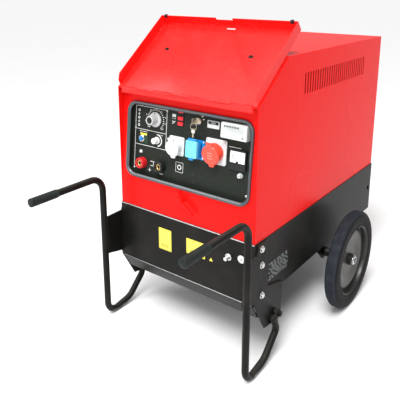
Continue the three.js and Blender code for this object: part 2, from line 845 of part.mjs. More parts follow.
// the breaker's linked toggles in the box's recess
function breakerToggle() {
  const beam = alongX(bar(3, -32, 32, 12));
  const lever = box(-30, 30, -3, 3, 0, 13);
  return onPanel(at(beam.add(lever).rotate([-28, 0, 0]), 0, -2, 12.6), BREAKER_AT);
}

function breakerCover() {
  const pane = slab(BREAKER_W - 2, BREAKER_H - 5, 2, 27.3, 30);
  const knuckle = at(alongX(bar(2.2, -34, 34, 12)), 0, BREAKER_H / 2 - 3.5, 29.6);
  return onPanel(at(pane, 0, -1).add(knuckle), BREAKER_AT);
}

function panelMeter() {
  const body = slab(65, 68, 3, GAP, 12);
  const window = at(slab(57, 38, 2, 10.5, 20), 0, 10);
  return onPanel(body.subtract(window), METER_AT);
}

function fuseHolder() {
  return onPanel(bar(9.5, GAP, 4, 24).add(bar(7, 3.9, 13, 20)), FUSE_AT);
}

const TILT = 14; // sockets point down by this much from the panel's normal

// flange, short tilted barrel and the round well the plug goes into
function socketBody(spot, flange, radius, reach) {
  const plate = slab(flange, flange, 6, GAP, 5);
  const hull = bar(radius, -30, reach, 20).rotate([TILT, 0, 0]);
  const front = box(-100, 100, -100, 100, GAP, 100);
  const well = bar(radius - 4, reach - 24, reach + 10, 20).rotate([TILT, 0, 0]);
  return onPanel(plate.add(hull.subtract(well).intersect(front)), spot);
}

// round cap over the mouth, with its hinge tab above and thumb tab below
function socketCap(spot, radius, reach) {
  const disc = bar(radius + 2.5, reach + 0.5, reach + 8, 24, radius + 1);
  const hingeTab = at(slab(26, 14, 3, reach + 0.5, reach + 6), 0, radius + 4);
  const thumbTab = at(slab(22, 12, 4, reach + 0.5, reach + 5), 0, -radius - 3);
  const knuckle = at(alongX(bar(3.2, -13, 13, 12)), 0, radius + 10, reach + 3.2);
  return onPanel(disc.add(hingeTab).add(thumbTab).add(knuckle).rotate([TILT, 0, 0]), spot);
}

// square socket with an upright flat lid, hinged on a barrel along its top
function squareSocket(spot) {
  const plate = slab(68, 68, 6, GAP, 5);
  const hull = slab(46, 52, 5, 4, 24);
  const well = slab(38, 42, 4, 6, 40);
  return onPanel(plate.add(hull).subtract(well), spot);
}

function squareLid(spot) {
  const pane = at(slab(48, 60, 5, 24.5, 34), -3, 3);
  const barrel = at(alongX(bar(5, -18, 18, 16)), 0, 36, 29);
  const thumbTab = at(slab(20, 10, 3, 27, 32), -3, -30);
  return onPanel(pane.add(barrel).add(thumbTab), spot);
}

// ---------------------------------------------------------------- inside the canopy
const FLOOR = BASE_BOTTOM + BASE_SHEET + GAP;

function fuelTank() {
  const shape = outline([
    [CANOPY_FRONT + 40, FLOOR],
    [CANOPY_FRONT + 225, FLOOR],
    [CANOPY_FRONT + 225, 545],
    [CANOPY_FRONT + 200, 565],
    [CANOPY_FRONT + 60, 565],
    [CANOPY_FRONT + 40, 545],
  ]);
  const neck = at(bar(26, 560, 585, 24), -150, CANOPY_FRONT + 160);
  return acrossX(shape, -240, 240).add(neck);
}

function alternator() {
  const profile = [
    [0, 0],
    [95, 0],
    [125, 18],
    [125, 60],
    [118, 64],
    [118, 196],
    [125, 200],
    [125, 250],
    [0, 250],
  ];
  const drum = turned(profile, 24).rotate([-90, 0, 0]);
  const feet = box(-110, 110, 40, 210, -142, -100);
  return at(drum.add(feet), 0, CANOPY_FRONT + 240, 400);
}

function engine() {
  const y0 = CANOPY_FRONT + 495;
  const crankcase = box(-140, 140, y0, y0 + 260, FLOOR + 20, 520);
  const sump = box(-110, 110, y0 + 20, y0 + 240, FLOOR, FLOOR + 21);
  let body = crankcase.add(sump);
  const barrel = box(-60, 60, y0 + 70, y0 + 190, 515, 700);
  body = body.add(barrel);
  for (let i = 0; i < 5; i++) {
    body = body.add(box(-95, 95, y0 + 35, y0 + 225, 550 + i * 28, 556 + i * 28));
  }
  const head = box(-90, 90, y0 + 40, y0 + 220, 695, 760);
  const housing = bar(150, -1, 90, 28).rotate([-90, 0, 0]);
  const intake = bar(95, 70, 120, 28).rotate([-90, 0, 0]);
  const fanHousing = at(housing.subtract(intake), 0, y0 + 260, 440);
  return body.add(head).add(fanHousing);
}

function battery() {
  const y0 = CANOPY_REAR - 150;
  const shell = box(60, 260, y0, y0 + 130, FLOOR, FLOOR + 170);
  const posts = [85, 235].map((x) => at(bar(9, FLOOR + 169, FLOOR + 186, 16), x, y0 + 100));
  return shell.add(posts[0]).add(posts[1]);
}

function silencer() {
  const drum = at(alongX(bar(70, -230, 150, 28)), 0, CANOPY_REAR - 110, 940);
  const tail = at(bar(25, 0, 112, 20).rotate([-90, 0, 0]), -170, CANOPY_REAR - 112, 940);
  const bore = at(bar(22, 60, 130, 20).rotate([-90, 0, 0]), -170, CANOPY_REAR - 112, 940);
  return drum.add(tail).subtract(bore);
}

function powerModule() {
  const y0 = CANOPY_FRONT + 130;
  let body = box(-200, 200, y0, y0 + 60, 640, 860);
  for (let i = 0; i < 9; i++) body = body.add(box(-190 + i * 46, -180 + i * 46, y0 + 59, y0 + 100, 645, 855));
  return body;
}

// ---------------------------------------------------------------- assembly
place("base_tray", baseTray(), BLACK);
place("front_cross_member", crossMember(), BLACK);
place("axle", axle(), ZINC);
for (const [word, side] of SIDES) {
  place(word + "_bracket", bracket(side), BLACK);
  place(word + "_handle_tube", handleTube(side), BLACK);
  place(word + "_grip", grip(side), RUBBER);
  place(word + "_axle_bracket", axleBracket(side), BLACK);
  place(word + "_tyre", tyre(side), RUBBER);
  place(word + "_rim", rim(side), STEEL);
  place(word + "_hub_bush", hubBush(side), BLACK);
  place(word + "_hub_nut", hubNut(side), ZINC);
  place(word + "_side_panel", sidePanel(side), RED);
  place(word + "_lid_buffer", lidBuffer(side), RUBBER);
}
place("roof_panel", roofPanel(), RED);
place("rear_panel", rearPanel(), RED);
place("front_fascia", frontFascia(), RED);
place("panel_frame", panelFrame(), SEAL_GREY);
place("control_panel", controlPanel(), PANEL_BLACK);
place("lid", lid(), RED);
place("lid_hinge", lidHinge(), RED);
place("latch_lever", latchLever(), RED);

place("current_knob", currentKnob(), LIGHT_GREY);
place("arc_knob", arcKnob(), LIGHT_GREY);
place("push_button", pushButton(), BLUE);
place("plus_socket", weldingSocket(PLUS_AT, 21), SIGNAL_RED);
place("plus_insert", socketInsert(PLUS_AT), BRASS);
place("minus_socket", weldingSocket(MINUS_AT, 21), BLACK);
place("minus_insert", socketInsert(MINUS_AT), BRASS);
place("lamp_strip", lampStrip(), SIGNAL_RED);
place("key_switch", keySwitch(), ZINC);
place("key", key(), BRASS);
place("key_ring", keyRing(), ZINC);
place("hour_meter", hourMeter(), BLACK);
place("breaker_box", breakerBox(), LIGHT_GREY);
place("breaker_toggle", breakerToggle(), BLACK);
place("breaker_cover", breakerCover(), CLEAR);
place("panel_meter", panelMeter(), BLACK);
place("fuse_holder", fuseHolder(), ZINC);
place("white_socket", socketBody(WHITE_AT, 68, 27, 26), LIGHT_GREY);
place("white_cap", socketCap(WHITE_AT, 27, 26), WHITE);
place("blue_socket", squareSocket(BLUE_AT), BLUE);
place("blue_cap", squareLid(BLUE_AT), BLUE);
place("red_socket", socketBody(RED_AT, 86, 33, 32), LIGHT_GREY);
place("red_cap", socketCap(RED_AT, 33, 32), SIGNAL_RED);

place("fuel_tank", fuelTank(), BLACK);
place("alternator", alternator(), CAST);
place("engine", engine(), CAST);
place("battery", battery(), BLACK);
place("silencer", silencer(), STEEL);
place("power_module", powerModule(), STEEL);

export default welder;
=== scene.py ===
"""Engine driven welder: looks, detail pieces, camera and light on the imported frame."""
import json
import math

import bmesh
import bpy
from mathutils import Matrix, Vector


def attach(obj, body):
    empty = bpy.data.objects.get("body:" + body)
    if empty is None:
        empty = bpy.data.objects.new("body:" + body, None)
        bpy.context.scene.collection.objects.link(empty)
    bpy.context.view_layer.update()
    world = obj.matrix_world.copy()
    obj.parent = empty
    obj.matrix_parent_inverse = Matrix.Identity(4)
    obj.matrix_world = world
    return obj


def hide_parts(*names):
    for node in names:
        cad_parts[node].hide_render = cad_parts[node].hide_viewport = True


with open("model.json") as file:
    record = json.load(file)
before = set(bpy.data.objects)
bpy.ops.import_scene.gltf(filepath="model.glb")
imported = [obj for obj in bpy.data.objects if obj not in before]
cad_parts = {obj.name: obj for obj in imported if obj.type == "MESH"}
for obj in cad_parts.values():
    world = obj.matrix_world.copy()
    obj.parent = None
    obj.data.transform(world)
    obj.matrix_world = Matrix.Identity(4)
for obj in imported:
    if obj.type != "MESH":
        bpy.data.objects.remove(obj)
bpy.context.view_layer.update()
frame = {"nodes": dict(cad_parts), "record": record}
NODES = frame["nodes"]
BODY_OF = {node: body for body, held in frame["record"]["behaviour"]["bodies"].items() for node in held}
SLOT_OF = {part["node"]: part["material_slot"] for part in frame["record"]["subparts"]}

# ------------------------------------------------------------------ driving dimensions, millimetres
MM = 0.001
TRAY_FRONT = -323.0
CANOPY_FRONT = TRAY_FRONT + 3
FOLD_HEIGHT = 563.0
PANEL_HEIGHT = 731.0
PANEL_DEPTH = 20.0
LEAN = math.atan2(33.0, 352.0)
PANEL_UP = Vector((0, math.sin(LEAN), math.cos(LEAN)))
PANEL_OUT = Vector((0, -math.cos(LEAN), math.sin(LEAN)))
FASCIA_MIDDLE = Vector((0, CANOPY_FRONT + (PANEL_HEIGHT - FOLD_HEIGHT) * math.tan(LEAN), PANEL_HEIGHT))
LID_AXIS = Vector((0, CANOPY_FRONT - 3, 926.5))
LID_SWING = math.pi + math.radians(50.8)
SOCKET_TILT = math.radians(14)
WHEEL = Vector((400.0, TRAY_FRONT + 587, 200.0))
TUBE_X = 324.1
TUBE_Y = TRAY_FRONT - 76
GRIP_END = TRAY_FRONT - 394
GRIP_HEIGHT = 588.0
LEG_BOLT = (TRAY_FRONT + 136, 160.0)
PRINT_RISE = 0.18
FRAME_SIZE = (552.0, 287.0)
FRAME_BAND = 13.0
FRAME_CORNER = 35.5
CANOPY_SIDE = 302.0
TRAY_SIDE = 305.0
BRACKET_FACE = 311.3
EARTH_DISC = (252, 404)
SIDES = (("left", -1), ("right", 1))
CONTROL = {  # middle of each control, across and up from the middle of the panel
    "current_knob": (-158, 81), "arc_knob": (-147, 5), "push_button": (-221, 1), "button_plate": (-214, 0),
    "indicator": (-223, -49), "plus": (-212, -90), "minus": (-120, -87), "lamps": (-40, 106),
    "ignition": (35, 106), "hour_meter": (102, 103), "breaker": (200, 98), "panel_meter": (211, 3),
    "fuse": (221, -48), "white": (-52, 3), "blue": (38, 7), "red": (119, 14), "dial": (-158, 79),
}

# ------------------------------------------------------------------ driving values of the light, metres
FLOOR_REACH = 400
ROOM_LIGHT = 0.42
SUN_LIGHT = 2.5
SUN_HEADING = Vector((-0.20, 0.62, -1.0))


# ------------------------------------------------------------------ camera, floor and light
def camera():
    lens = bpy.data.cameras.new("camera")
    lens.sensor_width = 36
    lens.lens = 48.28
    lens.shift_y = -0.199
    stand = bpy.data.objects.new("camera", lens)
    stand.location = (1.1193, -1.6840, 1.2895)
    stand.rotation_euler = (1.3212, 0, 0.6522)
    bpy.context.collection.objects.link(stand)
    bpy.context.scene.camera = stand


def pale_floor():
    sheet = bmesh.new()
    bmesh.ops.create_grid(sheet, x_segments=1, y_segments=1, size=FLOOR_REACH)
    mesh = bpy.data.meshes.new("floor")
    sheet.to_mesh(mesh)
    sheet.free()
    mesh.materials.append(floor_finish())
    ground = bpy.data.objects.new("floor", mesh)
    bpy.context.collection.objects.link(ground)


def daylight():
    """an even white room and a broad sun"""
    room = bpy.data.worlds.new("studio")
    room.use_nodes = True
    background = room.node_tree.nodes["Background"]
    background.inputs["Color"].default_value = (1.0, 1.0, 1.0, 1)
    background.inputs["Strength"].default_value = ROOM_LIGHT
    bpy.context.scene.world = room
    bpy.context.scene.view_settings.view_transform = "Standard"
    sun = bpy.data.lights.new("sun", "SUN")
    sun.energy = SUN_LIGHT
    sun.angle = math.radians(24)
    lamp = bpy.data.objects.new("sun", sun)
    lamp.rotation_euler = SUN_HEADING.to_track_quat("-Z", "Y").to_euler()
    bpy.context.collection.objects.link(lamp)


def softbox(name, spot, aim, size, power):
    """a rectangular area light at spot, turned to aim"""
    light = bpy.data.lights.new(name, "AREA")
    light.shape = "RECTANGLE"
    light.size, light.size_y = size
    light.energy = power
    lamp = bpy.data.objects.new(name, light)
    lamp.location = spot
    lamp.rotation_euler = (Vector(aim) - Vector(spot)).to_track_quat("-Z", "Y").to_euler()
    bpy.context.collection.objects.link(lamp)


# ------------------------------------------------------------------ shader arithmetic
class Value:
    """A socket that takes part in arithmetic by adding Math nodes."""

    def __init__(self, finish, socket):
        self.finish, self.socket = finish, socket

    def maths(self, operation, *others):
        return self.finish.node("Math", {"operation": operation}, dict(enumerate((self, *others))))

    def __add__(self, other):
        return self.maths("ADD", other)

    __radd__ = __add__

    def __sub__(self, other):
        return self.maths("SUBTRACT", other)

    def __rsub__(self, other):
        return (self * -1) + other

    def __mul__(self, other):
        return self.maths("MULTIPLY", other)

    __rmul__ = __mul__

    def size(self):
        return self.maths("ABSOLUTE")

    def rises(self, low, high):
        """0 below low, 1 above high, smooth between"""
        values = {"Value": self, "From Min": low, "From Max": high}
        return self.finish.node("MapRange", {"interpolation_type": "SMOOTHSTEP"}, values)


class Finish:
    """One material: a Principled shader with what varies fed to its sockets."""

    def __init__(self, name, **constants):
        self.material = bpy.data.materials.new(name)
        self.material.use_nodes = True
        self.tree = self.material.node_tree
        self.shader = self.tree.nodes["Principled BSDF"]
        for key, value in constants.items():
            self.shader.inputs[key.replace("_", " ")].default_value = value
        self.place = self.node("TexCoord", out="Object")
        self.bumped = None

    def node(self, kind, settings=None, values=None, out=0):
        node = self.tree.nodes.new("ShaderNode" + kind)
        for key, value in (settings or {}).items():
            setattr(node, key, value)
        for key, value in (values or {}).items():
            self.feed(node.inputs[key], value)
        return Value(self, node.outputs[out])

    def feed(self, socket, value):
        if isinstance(value, Value):
            self.tree.links.new(value.socket, socket)
        elif isinstance(value, tuple) and len(value) == 3 and socket.type == "RGBA":
            socket.default_value = (*value, 1)
        else:
            socket.default_value = value

    def mix(self, share, first, second):
        return self.node("Mix", {"data_type": "RGBA"}, {0: share, 6: first, 7: second}, out=2)

    def placed(self, centre=(0, 0, 0), stretch=(1, 1, 1)):
        offset = tuple(-c * s for c, s in zip(centre, stretch))
        return self.node("Mapping", None, {"Vector": self.place, "Location": offset, "Scale": stretch})

    def axis(self, name, place=None):
        return self.node("SeparateXYZ", None, {"Vector": place or self.place}, out=name)

    def noise(self, scale, detail=3.0, roughness=0.55, stretch=(1, 1, 1)):
        place = self.placed(stretch=stretch)
        values = {"Vector": place, "Scale": scale, "Detail": detail, "Roughness": roughness}
        return self.node("TexNoise", None, values)

    def cells(self, scale):
        return self.node("TexVoronoi", None, {"Vector": self.place, "Scale": scale}, out="Color")

    def facing_up(self):
        return self.axis("Z", self.node("NewGeometry", out="Normal"))

    def raise_by(self, height, depth, strength=1.0):
        values = {"Height": height, "Distance": depth, "Strength": strength}
        if self.bumped:
            values["Normal"] = self.bumped
        self.bumped = self.node("Bump", None, values)

    def done(self, colour, roughness, **others):
        self.feed(self.shader.inputs["Base Color"], colour)
        self.feed(self.shader.inputs["Roughness"], roughness)
        for key, value in others.items():
            self.feed(self.shader.inputs[key.replace("_", " ")], value)
        if self.bumped:
            self.feed(self.shader.inputs["Normal"], self.bumped)
        return self.material


# ------------------------------------------------------------------ finishes
def red_coat(name, gloss, coat):
    """gloss powder coat: slow tone drift, orange peel, dust on what faces up, rubbed low edges"""
    f = Finish(name, Coat_Weight=coat, Coat_Roughness=0.08, Specular_IOR_Level=gloss)
    drift = f.noise(2.2, 2)
    peel = f.noise(420, 2)
    dust = f.facing_up().rises(0.6, 1.0) * f.noise(26, 5).rises(0.45, 0.8)
    rub = f.noise(14, 6, 0.7).rises(0.66, 0.74) * (1 - f.axis("Z").rises(0.475, 0.53))
    colour = f.mix(drift, (0.785, 0.007, 0.006), (0.835, 0.0095, 0.0075))
    colour = f.mix(dust * 0.025, colour, (0.75, 0.62, 0.58))
    colour = f.mix(rub * 0.5, colour, (0.30, 0.01, 0.01))
    f.raise_by(peel, 0.00025, 0.25)
    return f.done(colour, 0.24 + drift * 0.06 + dust * 0.06 + rub * 0.2)


def black_coat():
    """satin black coat: fine texture, dust film, bare metal where feet and edges scuff"""
    f = Finish("black powder coat", Coat_Weight=0.02, Coat_Roughness=0.25, Specular_IOR_Level=0.10)
    grain = f.noise(900, 2)
    cloud = f.noise(7, 4)
    height = f.axis("Z")
    foot = (1 - height.rises(0.004, 0.022)) * f.noise(90, 4).rises(0.40, 0.62)
    scratch = f.noise(60, 3, stretch=(1, 0.12, 1)).rises(0.70, 0.74) * 0.6
    dust = f.facing_up().rises(0.5, 1.0) * 0.10 + cloud.rises(0.4, 0.9) * 0.05
    colour = f.mix(cloud, (0.0045, 0.0045, 0.004), (0.0085, 0.008, 0.007))
    colour = f.mix(dust, colour, (0.24, 0.22, 0.19))
    colour = f.mix(scratch * 0.25, colour, (0.10, 0.10, 0.10))
    colour = f.mix(foot, colour, (0.30, 0.29, 0.28))
    f.raise_by(grain, 0.0002, 0.35)
    return f.done(colour, 0.33 + cloud * 0.14 + foot * 0.1, Metallic=foot * 0.9)


def tyre_rubber():
    """solid rubber: moulding rings on the flanks, ribbed and dusty tread"""
    f = Finish("tyre rubber", Specular_IOR_Level=0.08)
    about = f.placed((0, WHEEL.y * MM, WHEEL.z * MM))
    across = f.axis("X").size() - WHEEL.x * MM
    y, z = f.axis("Y", about), f.axis("Z", about)
    radius = (y * y + z * z).maths("SQRT")
    rings = (radius * 2400).maths("SINE")
    tread = radius.rises(0.186, 0.196)
    grain = f.noise(260, 4)
    dust = f.noise(34, 5, 0.65).rises(0.38, 0.75)
    flank = (1 - tread) * rings.rises(0.2, 0.9)
    colour = f.mix(tread, (0.006, 0.006, 0.007), (0.013, 0.016, 0.021))
    ribs = (across * 1050).maths("SINE").rises(-0.2, 0.6) * tread
    colour = f.mix(ribs * 0.6, colour, (0.036, 0.043, 0.055))
    colour = f.mix(dust * (0.05 + tread * 0.10), colour, (0.12, 0.12, 0.125))
    f.raise_by(flank * 0.35 + grain * 0.5, 0.0004, 0.5)
    f.raise_by((across * 900).maths("SINE") * tread, 0.00025, 0.5)
    return f.done(colour, 0.52 + grain * 0.16 + tread * 0.12)


def rim_steel():
    """pressed steel with turned lines and a thin lacquer"""
    f = Finish("rim steel", Coat_Weight=0.10, Coat_Roughness=0.12, Specular_IOR_Level=0.4)
    about = f.placed((0, WHEEL.y * MM, WHEEL.z * MM))
    y, z = f.axis("Y", about), f.axis("Z", about)
    radius = (y * y + z * z).maths("SQRT")
    lines = (radius * 5200).maths("SINE")
    stain = f.noise(30, 5)
    colour = f.mix(stain, (0.018, 0.019, 0.017), (0.045, 0.046, 0.041))
    colour = f.mix(f.noise(140, 4, 0.7).rises(0.62, 0.7) * 0.4, colour, (0.09, 0.085, 0.08))
    f.raise_by(lines, 0.00006, 0.25)
    return f.done(colour, 0.30 + stain * 0.16, Metallic=0.30 + stain * 0.2)


def zinc():
    """bright zinc plating with a faint crystal pattern"""
    f = Finish("zinc plate")
    crystal = f.cells(900)
    cloud = f.noise(120, 3)
    tone = f.mix(f.axis("X", crystal), (0.50, 0.51, 0.52), (0.80, 0.80, 0.78))
    colour = f.mix(cloud.rises(0.45, 0.8) * 0.3, tone, (0.42, 0.38, 0.28))
    f.raise_by(cloud, 0.0001, 0.2)
    return f.done(colour, 0.20 + cloud * 0.16, Metallic=0.95)


def chrome():
    f = Finish("chrome")
    cloud = f.noise(200, 3)
    return f.done(f.mix(cloud, (0.72, 0.73, 0.74), (0.86, 0.86, 0.86)), 0.08 + cloud * 0.08, Metallic=1.0)


def soft_rubber():
    """grip rubber, a little polished where hands hold it"""
    f = Finish("grip rubber", Specular_IOR_Level=0.2)
    grain = f.noise(500, 4)
    worn = f.noise(40, 4).rises(0.45, 0.8)
    colour = f.mix(worn, (0.010, 0.014, 0.0135), (0.026, 0.034, 0.032))
    f.raise_by(grain, 0.0004, 0.5)
    return f.done(colour, 0.50 + grain * 0.15 - worn * 0.08)


def frame_rubber():
    """extruded grey rubber with a slight bloom and fine grain"""
    f = Finish("frame rubber", Coat_Weight=0.8, Coat_Roughness=0.22, Specular_IOR_Level=0.6)
    bloom = f.noise(18, 4)
    fine = f.noise(700, 3)
    colour = f.mix(bloom, (0.022, 0.034, 0.042), (0.042, 0.058, 0.066))
    f.raise_by(fine, 0.0002, 0.25)
    return f.done(colour, 0.36 + bloom * 0.12)


def panel_lacquer():
    """dark satin lacquer with a thin film of dust"""
    f = Finish("panel lacquer", Coat_Weight=0.03, Coat_Roughness=0.3, Specular_IOR_Level=0.14)
    grain = f.noise(1100, 2)
    cloud = f.noise(9, 4)
    dust = f.noise(60, 5).rises(0.5, 0.85)
    colour = f.mix(cloud, (0.012, 0.0155, 0.012), (0.020, 0.024, 0.019))
    colour = f.mix(dust * 0.05, colour, (0.25, 0.25, 0.23))
    f.raise_by(grain, 0.0002, 0.3)
    return f.done(colour, 0.40 + cloud * 0.12)


def moulded(name, dark, light, roughness=0.32, coat=0.2):
    """moulded plastic: soft tone drift, fine spark texture, handling marks"""
    f = Finish(name, Coat_Weight=coat, Coat_Roughness=0.15, Specular_IOR_Level=0.25)
    drift = f.noise(55, 3)
    spark = f.noise(1600, 2)
    marks = f.noise(130, 6, 0.7).rises(0.62, 0.75)
    colour = f.mix(drift, dark, light)
    colour = f.mix(marks * 0.12, colour, (0.20, 0.18, 0.16))
    f.raise_by(spark, 0.00012, 0.25)
    return f.done(colour, roughness + drift * 0.08 + marks * 0.12)


def plain_metal(name, dark, light, roughness, metallic=0.95):
    f = Finish(name)
    cloud = f.noise(40, 4)
    fine = f.noise(300, 4)
    f.raise_by(fine, 0.0005, 0.3)
    return f.done(f.mix(cloud, dark, light), roughness + cloud * 0.15, Metallic=metallic)


def print_white():
    f = Finish("screen print")
    wear = f.noise(400, 4).rises(0.6, 0.75)
    return f.done(f.mix(wear, (0.72, 0.74, 0.72), (0.30, 0.31, 0.30)), 0.45 + wear * 0.2)


def clear_cover():
    f = Finish("clear cover", Alpha=0.38, Coat_Weight=0.5)
    haze = f.noise(60, 4)
    return f.done(f.mix(haze, (0.80, 0.86, 0.84), (0.93, 0.96, 0.95)), 0.12 + haze * 0.12)


def sticker(name, dark, light):
    f = Finish(name, Coat_Weight=0.3, Coat_Roughness=0.2)
    fade = f.noise(45, 4)
    scuff = f.noise(220, 5, 0.7).rises(0.66, 0.74)
    colour = f.mix(scuff * 0.5, f.mix(fade, dark, light), (0.25, 0.22, 0.15))
    return f.done(colour, 0.34 + fade * 0.14)


def floor_finish():
    f = Finish("pale floor")
    cloud = f.noise(1.2, 3)
    return f.done(f.mix(cloud, (0.88, 0.88, 0.88), (0.91, 0.91, 0.91)), 0.8)


RED = red_coat("red powder coat", 0.08, 0.0)
RED_SHEEN = red_coat("red powder coat, glossy", 0.32, 0.10)
RED_EDGE = red_coat("red powder coat, polished edge", 0.25, 0.5)
BLACK = black_coat()
TYRE = tyre_rubber()
RIM = rim_steel()
ZINC = zinc()
CHROME = chrome()
GRIP = soft_rubber()
SEAL = frame_rubber()
LACQUER = panel_lacquer()
WHITE_PRINT = print_white()
CLEAR = clear_cover()
BLACK_PLASTIC = moulded("black plastic", (0.008, 0.008, 0.008), (0.016, 0.016, 0.017), 0.38, 0.05)
GREY_PLASTIC = moulded("light grey plastic", (0.55, 0.60, 0.60), (0.68, 0.72, 0.71), 0.34)
KNOB_GREY = moulded("knob grey", (0.42, 0.43, 0.43), (0.60, 0.61, 0.60), 0.28, 0.4)
WHITE_PLASTIC = moulded("white plastic", (0.70, 0.72, 0.71), (0.79, 0.80, 0.78), 0.34, 0.1)
BLUE_PLASTIC = moulded("blue plastic", (0.004, 0.17, 0.50), (0.010, 0.26, 0.66), 0.28, 0.4)
# painted light: the blue socket's lid pane drawn paler as its lit face
LIT_FACE_BLUE = moulded("blue plastic, painted lit face", (0.10, 0.50, 0.68), (0.22, 0.66, 0.80), 0.30, 0.4)
RED_PLASTIC = moulded("red plastic", (0.84, 0.050, 0.026), (0.95, 0.085, 0.045), 0.28, 0.4)
DEEP_RED = moulded("deep red plastic", (0.50, 0.008, 0.012), (0.66, 0.016, 0.02), 0.30, 0.3)
LAMP_RED = moulded("lamp red", (0.62, 0.012, 0.020), (0.80, 0.030, 0.035), 0.12, 0.6)
BRASS = plain_metal("brass", (0.62, 0.42, 0.16), (0.80, 0.60, 0.28), 0.22)
NICKEL = plain_metal("nickel silver", (0.55, 0.48, 0.36), (0.74, 0.68, 0.55), 0.22)
CAST = plain_metal("cast metal", (0.10, 0.105, 0.11), (0.17, 0.175, 0.18), 0.5, 0.6)
HEATED = plain_metal("heat stained steel", (0.18, 0.15, 0.12), (0.36, 0.33, 0.30), 0.4)
ALLOY = plain_metal("alloy fins", (0.45, 0.46, 0.47), (0.62, 0.63, 0.64), 0.35)
TANK = moulded("tank plastic", (0.030, 0.030, 0.030), (0.050, 0.050, 0.048), 0.5)
YELLOW = sticker("yellow plate", (0.86, 0.70, 0.05), (0.96, 0.82, 0.10))
WHITE_PLATE = sticker("white plate", (0.80, 0.80, 0.78), (0.90, 0.90, 0.88))


# ------------------------------------------------------------------ shapes, millimetres
def creases(bm, least):
    """edges whose faces meet at more than least degrees"""
    return [e for e in bm.edges if e.is_manifold and e.calc_face_angle(0) > math.radians(least)]


def upper_rim(bm, height):
    """the sharp edges that lie in the plane z = height"""
    return [e for e in creases(bm, 60) if all(abs(v.co.z - height) < 1e-4 for v in e.verts)]


def round_edges(bm, edges, width, segments=3):
    bmesh.ops.bevel(
        bm, geom=list(edges), offset=width, offset_type="OFFSET", segments=segments,
        profile=0.5, affect="EDGES", material=-1, clamp_overlap=True,
    )


def block(low, high, width=0.0, segments=3):
    bm = bmesh.new()
    middle = [(a + b) / 2 for a, b in zip(low, high)]
    size = [b - a for a, b in zip(low, high)]
    bmesh.ops.create_cube(bm, size=1, matrix=Matrix.Translation(middle) @ Matrix.Diagonal((*size, 1)))
    if width:
        round_edges(bm, bm.edges, width, segments)
    return bm


def rod(radius, z0, z1, sides=48, top=None, width=0.0):
    bm = bmesh.new()
    matrix = Matrix.Translation((0, 0, (z0 + z1) / 2))
    bmesh.ops.create_cone(
        bm, cap_ends=True, segments=sides, radius1=radius, radius2=radius if top is None else top,
        depth=z1 - z0, matrix=matrix,
    )
    if width:
        round_edges(bm, creases(bm, 40), width)
    return bm


def plate(width, height, corner, z0, z1, soft=0.0):
    """a flat slab with round corners; soft rounds its upper edge"""
    bm = block((-width / 2, -height / 2, z0), (width / 2, height / 2, z1))
    upright = [e for e in bm.edges if abs(e.verts[0].co.z - e.verts[1].co.z) > (z1 - z0) / 2]
    if corner:
        round_edges(bm, upright, corner, 6)
    if soft:
        round_edges(bm, upper_rim(bm, z1), soft)
    return bm


def turned(profile, sides=96, soft=0.0):
    """a closed (radius, height) profile spun about Z"""
    bm = bmesh.new()
    verts = [bm.verts.new((r, 0, z)) for r, z in profile]
    edges = [bm.edges.new((verts[i - 1], verts[i])) for i in range(len(verts))]
    bmesh.ops.spin(
        bm, geom=verts + edges, cent=(0, 0, 0), axis=(0, 0, 1), angle=2 * math.pi,
        steps=sides, use_merge=True,
    )
    bmesh.ops.remove_doubles(bm, verts=bm.verts, dist=1e-3)
    bmesh.ops.recalc_face_normals(bm, faces=bm.faces)
    if soft:
        round_edges(bm, creases(bm, 14), soft)
    return bm


def outline(points, z0, z1, soft=0.0):
    """a flat outline extruded from z0 to z1"""
    bm = bmesh.new()
    face = bm.faces.new([bm.verts.new((x, y, z0)) for x, y in points])
    grown = bmesh.ops.extrude_face_region(bm, geom=[face])
    lifted = [v for v in grown["geom"] if isinstance(v, bmesh.types.BMVert)]
    bmesh.ops.translate(bm, verts=lifted, vec=(0, 0, z1 - z0))
    bmesh.ops.recalc_face_normals(bm, faces=bm.faces)
    if soft:
        round_edges(bm, creases(bm, 30), soft, 2)
    return bm


def swept(section, corners, bends, steps=10):
    """a section carried along straight runs and round bends, as a tube bender does"""
    bm = bmesh.new()
    points = [Vector(c) for c in corners]
    closed = points[0] == points[-1]
    heading = (points[1] - points[0]).normalized()
    start = points[0]
    if closed:
        start = (points[0] + points[1]) / 2
        points = [start, *points[1:-1], points[0], start]
    side = heading.orthogonal().normalized() if abs(heading.x) < 1e-6 else Vector((0, 0, 1))
    side = Vector((1, 0, 0)) if abs(heading.x) < 1e-6 else side
    upright = heading.cross(side)
    verts = [bm.verts.new(start + side * a + upright * b) for a, b in section]
    edges = [bm.edges.new((verts[i - 1], verts[i])) for i in range(len(verts))]
    place = start
    if not closed:
        bm.faces.new(verts)
    for i in range(1, len(points)):
        last = i == len(points) - 1
        target = points[i]
        if not last:
            onward = (points[i + 1] - points[i]).normalized()
            turn = heading.angle(onward)
            back = bends[i - 1] * math.tan(turn / 2)
            target = points[i] - heading * back
        run = bmesh.ops.extrude_edge_only(bm, edges=edges)["geom"]
        moved = [v for v in run if isinstance(v, bmesh.types.BMVert)]
        bmesh.ops.translate(bm, verts=moved, vec=target - place)
        edges = [e for e in run if isinstance(e, bmesh.types.BMEdge) and all(v in moved for v in e.verts)]
        place = target
        if last:
            break
        axis = heading.cross(onward).normalized()
        centre = target + axis.cross(heading) * bends[i - 1]
        spun = bmesh.ops.spin(
            bm, geom=edges, cent=centre, axis=axis, angle=turn, steps=steps, use_merge=False,
        )["geom_last"]
        edges = [e for e in spun if isinstance(e, bmesh.types.BMEdge)]
        place = points[i] + onward * back
        heading = onward
    if not closed:
        bmesh.ops.contextual_create(bm, geom=edges)
    bmesh.ops.remove_doubles(bm, verts=bm.verts, dist=1e-2)
    bmesh.ops.recalc_face_normals(bm, faces=bm.faces)
    return bm


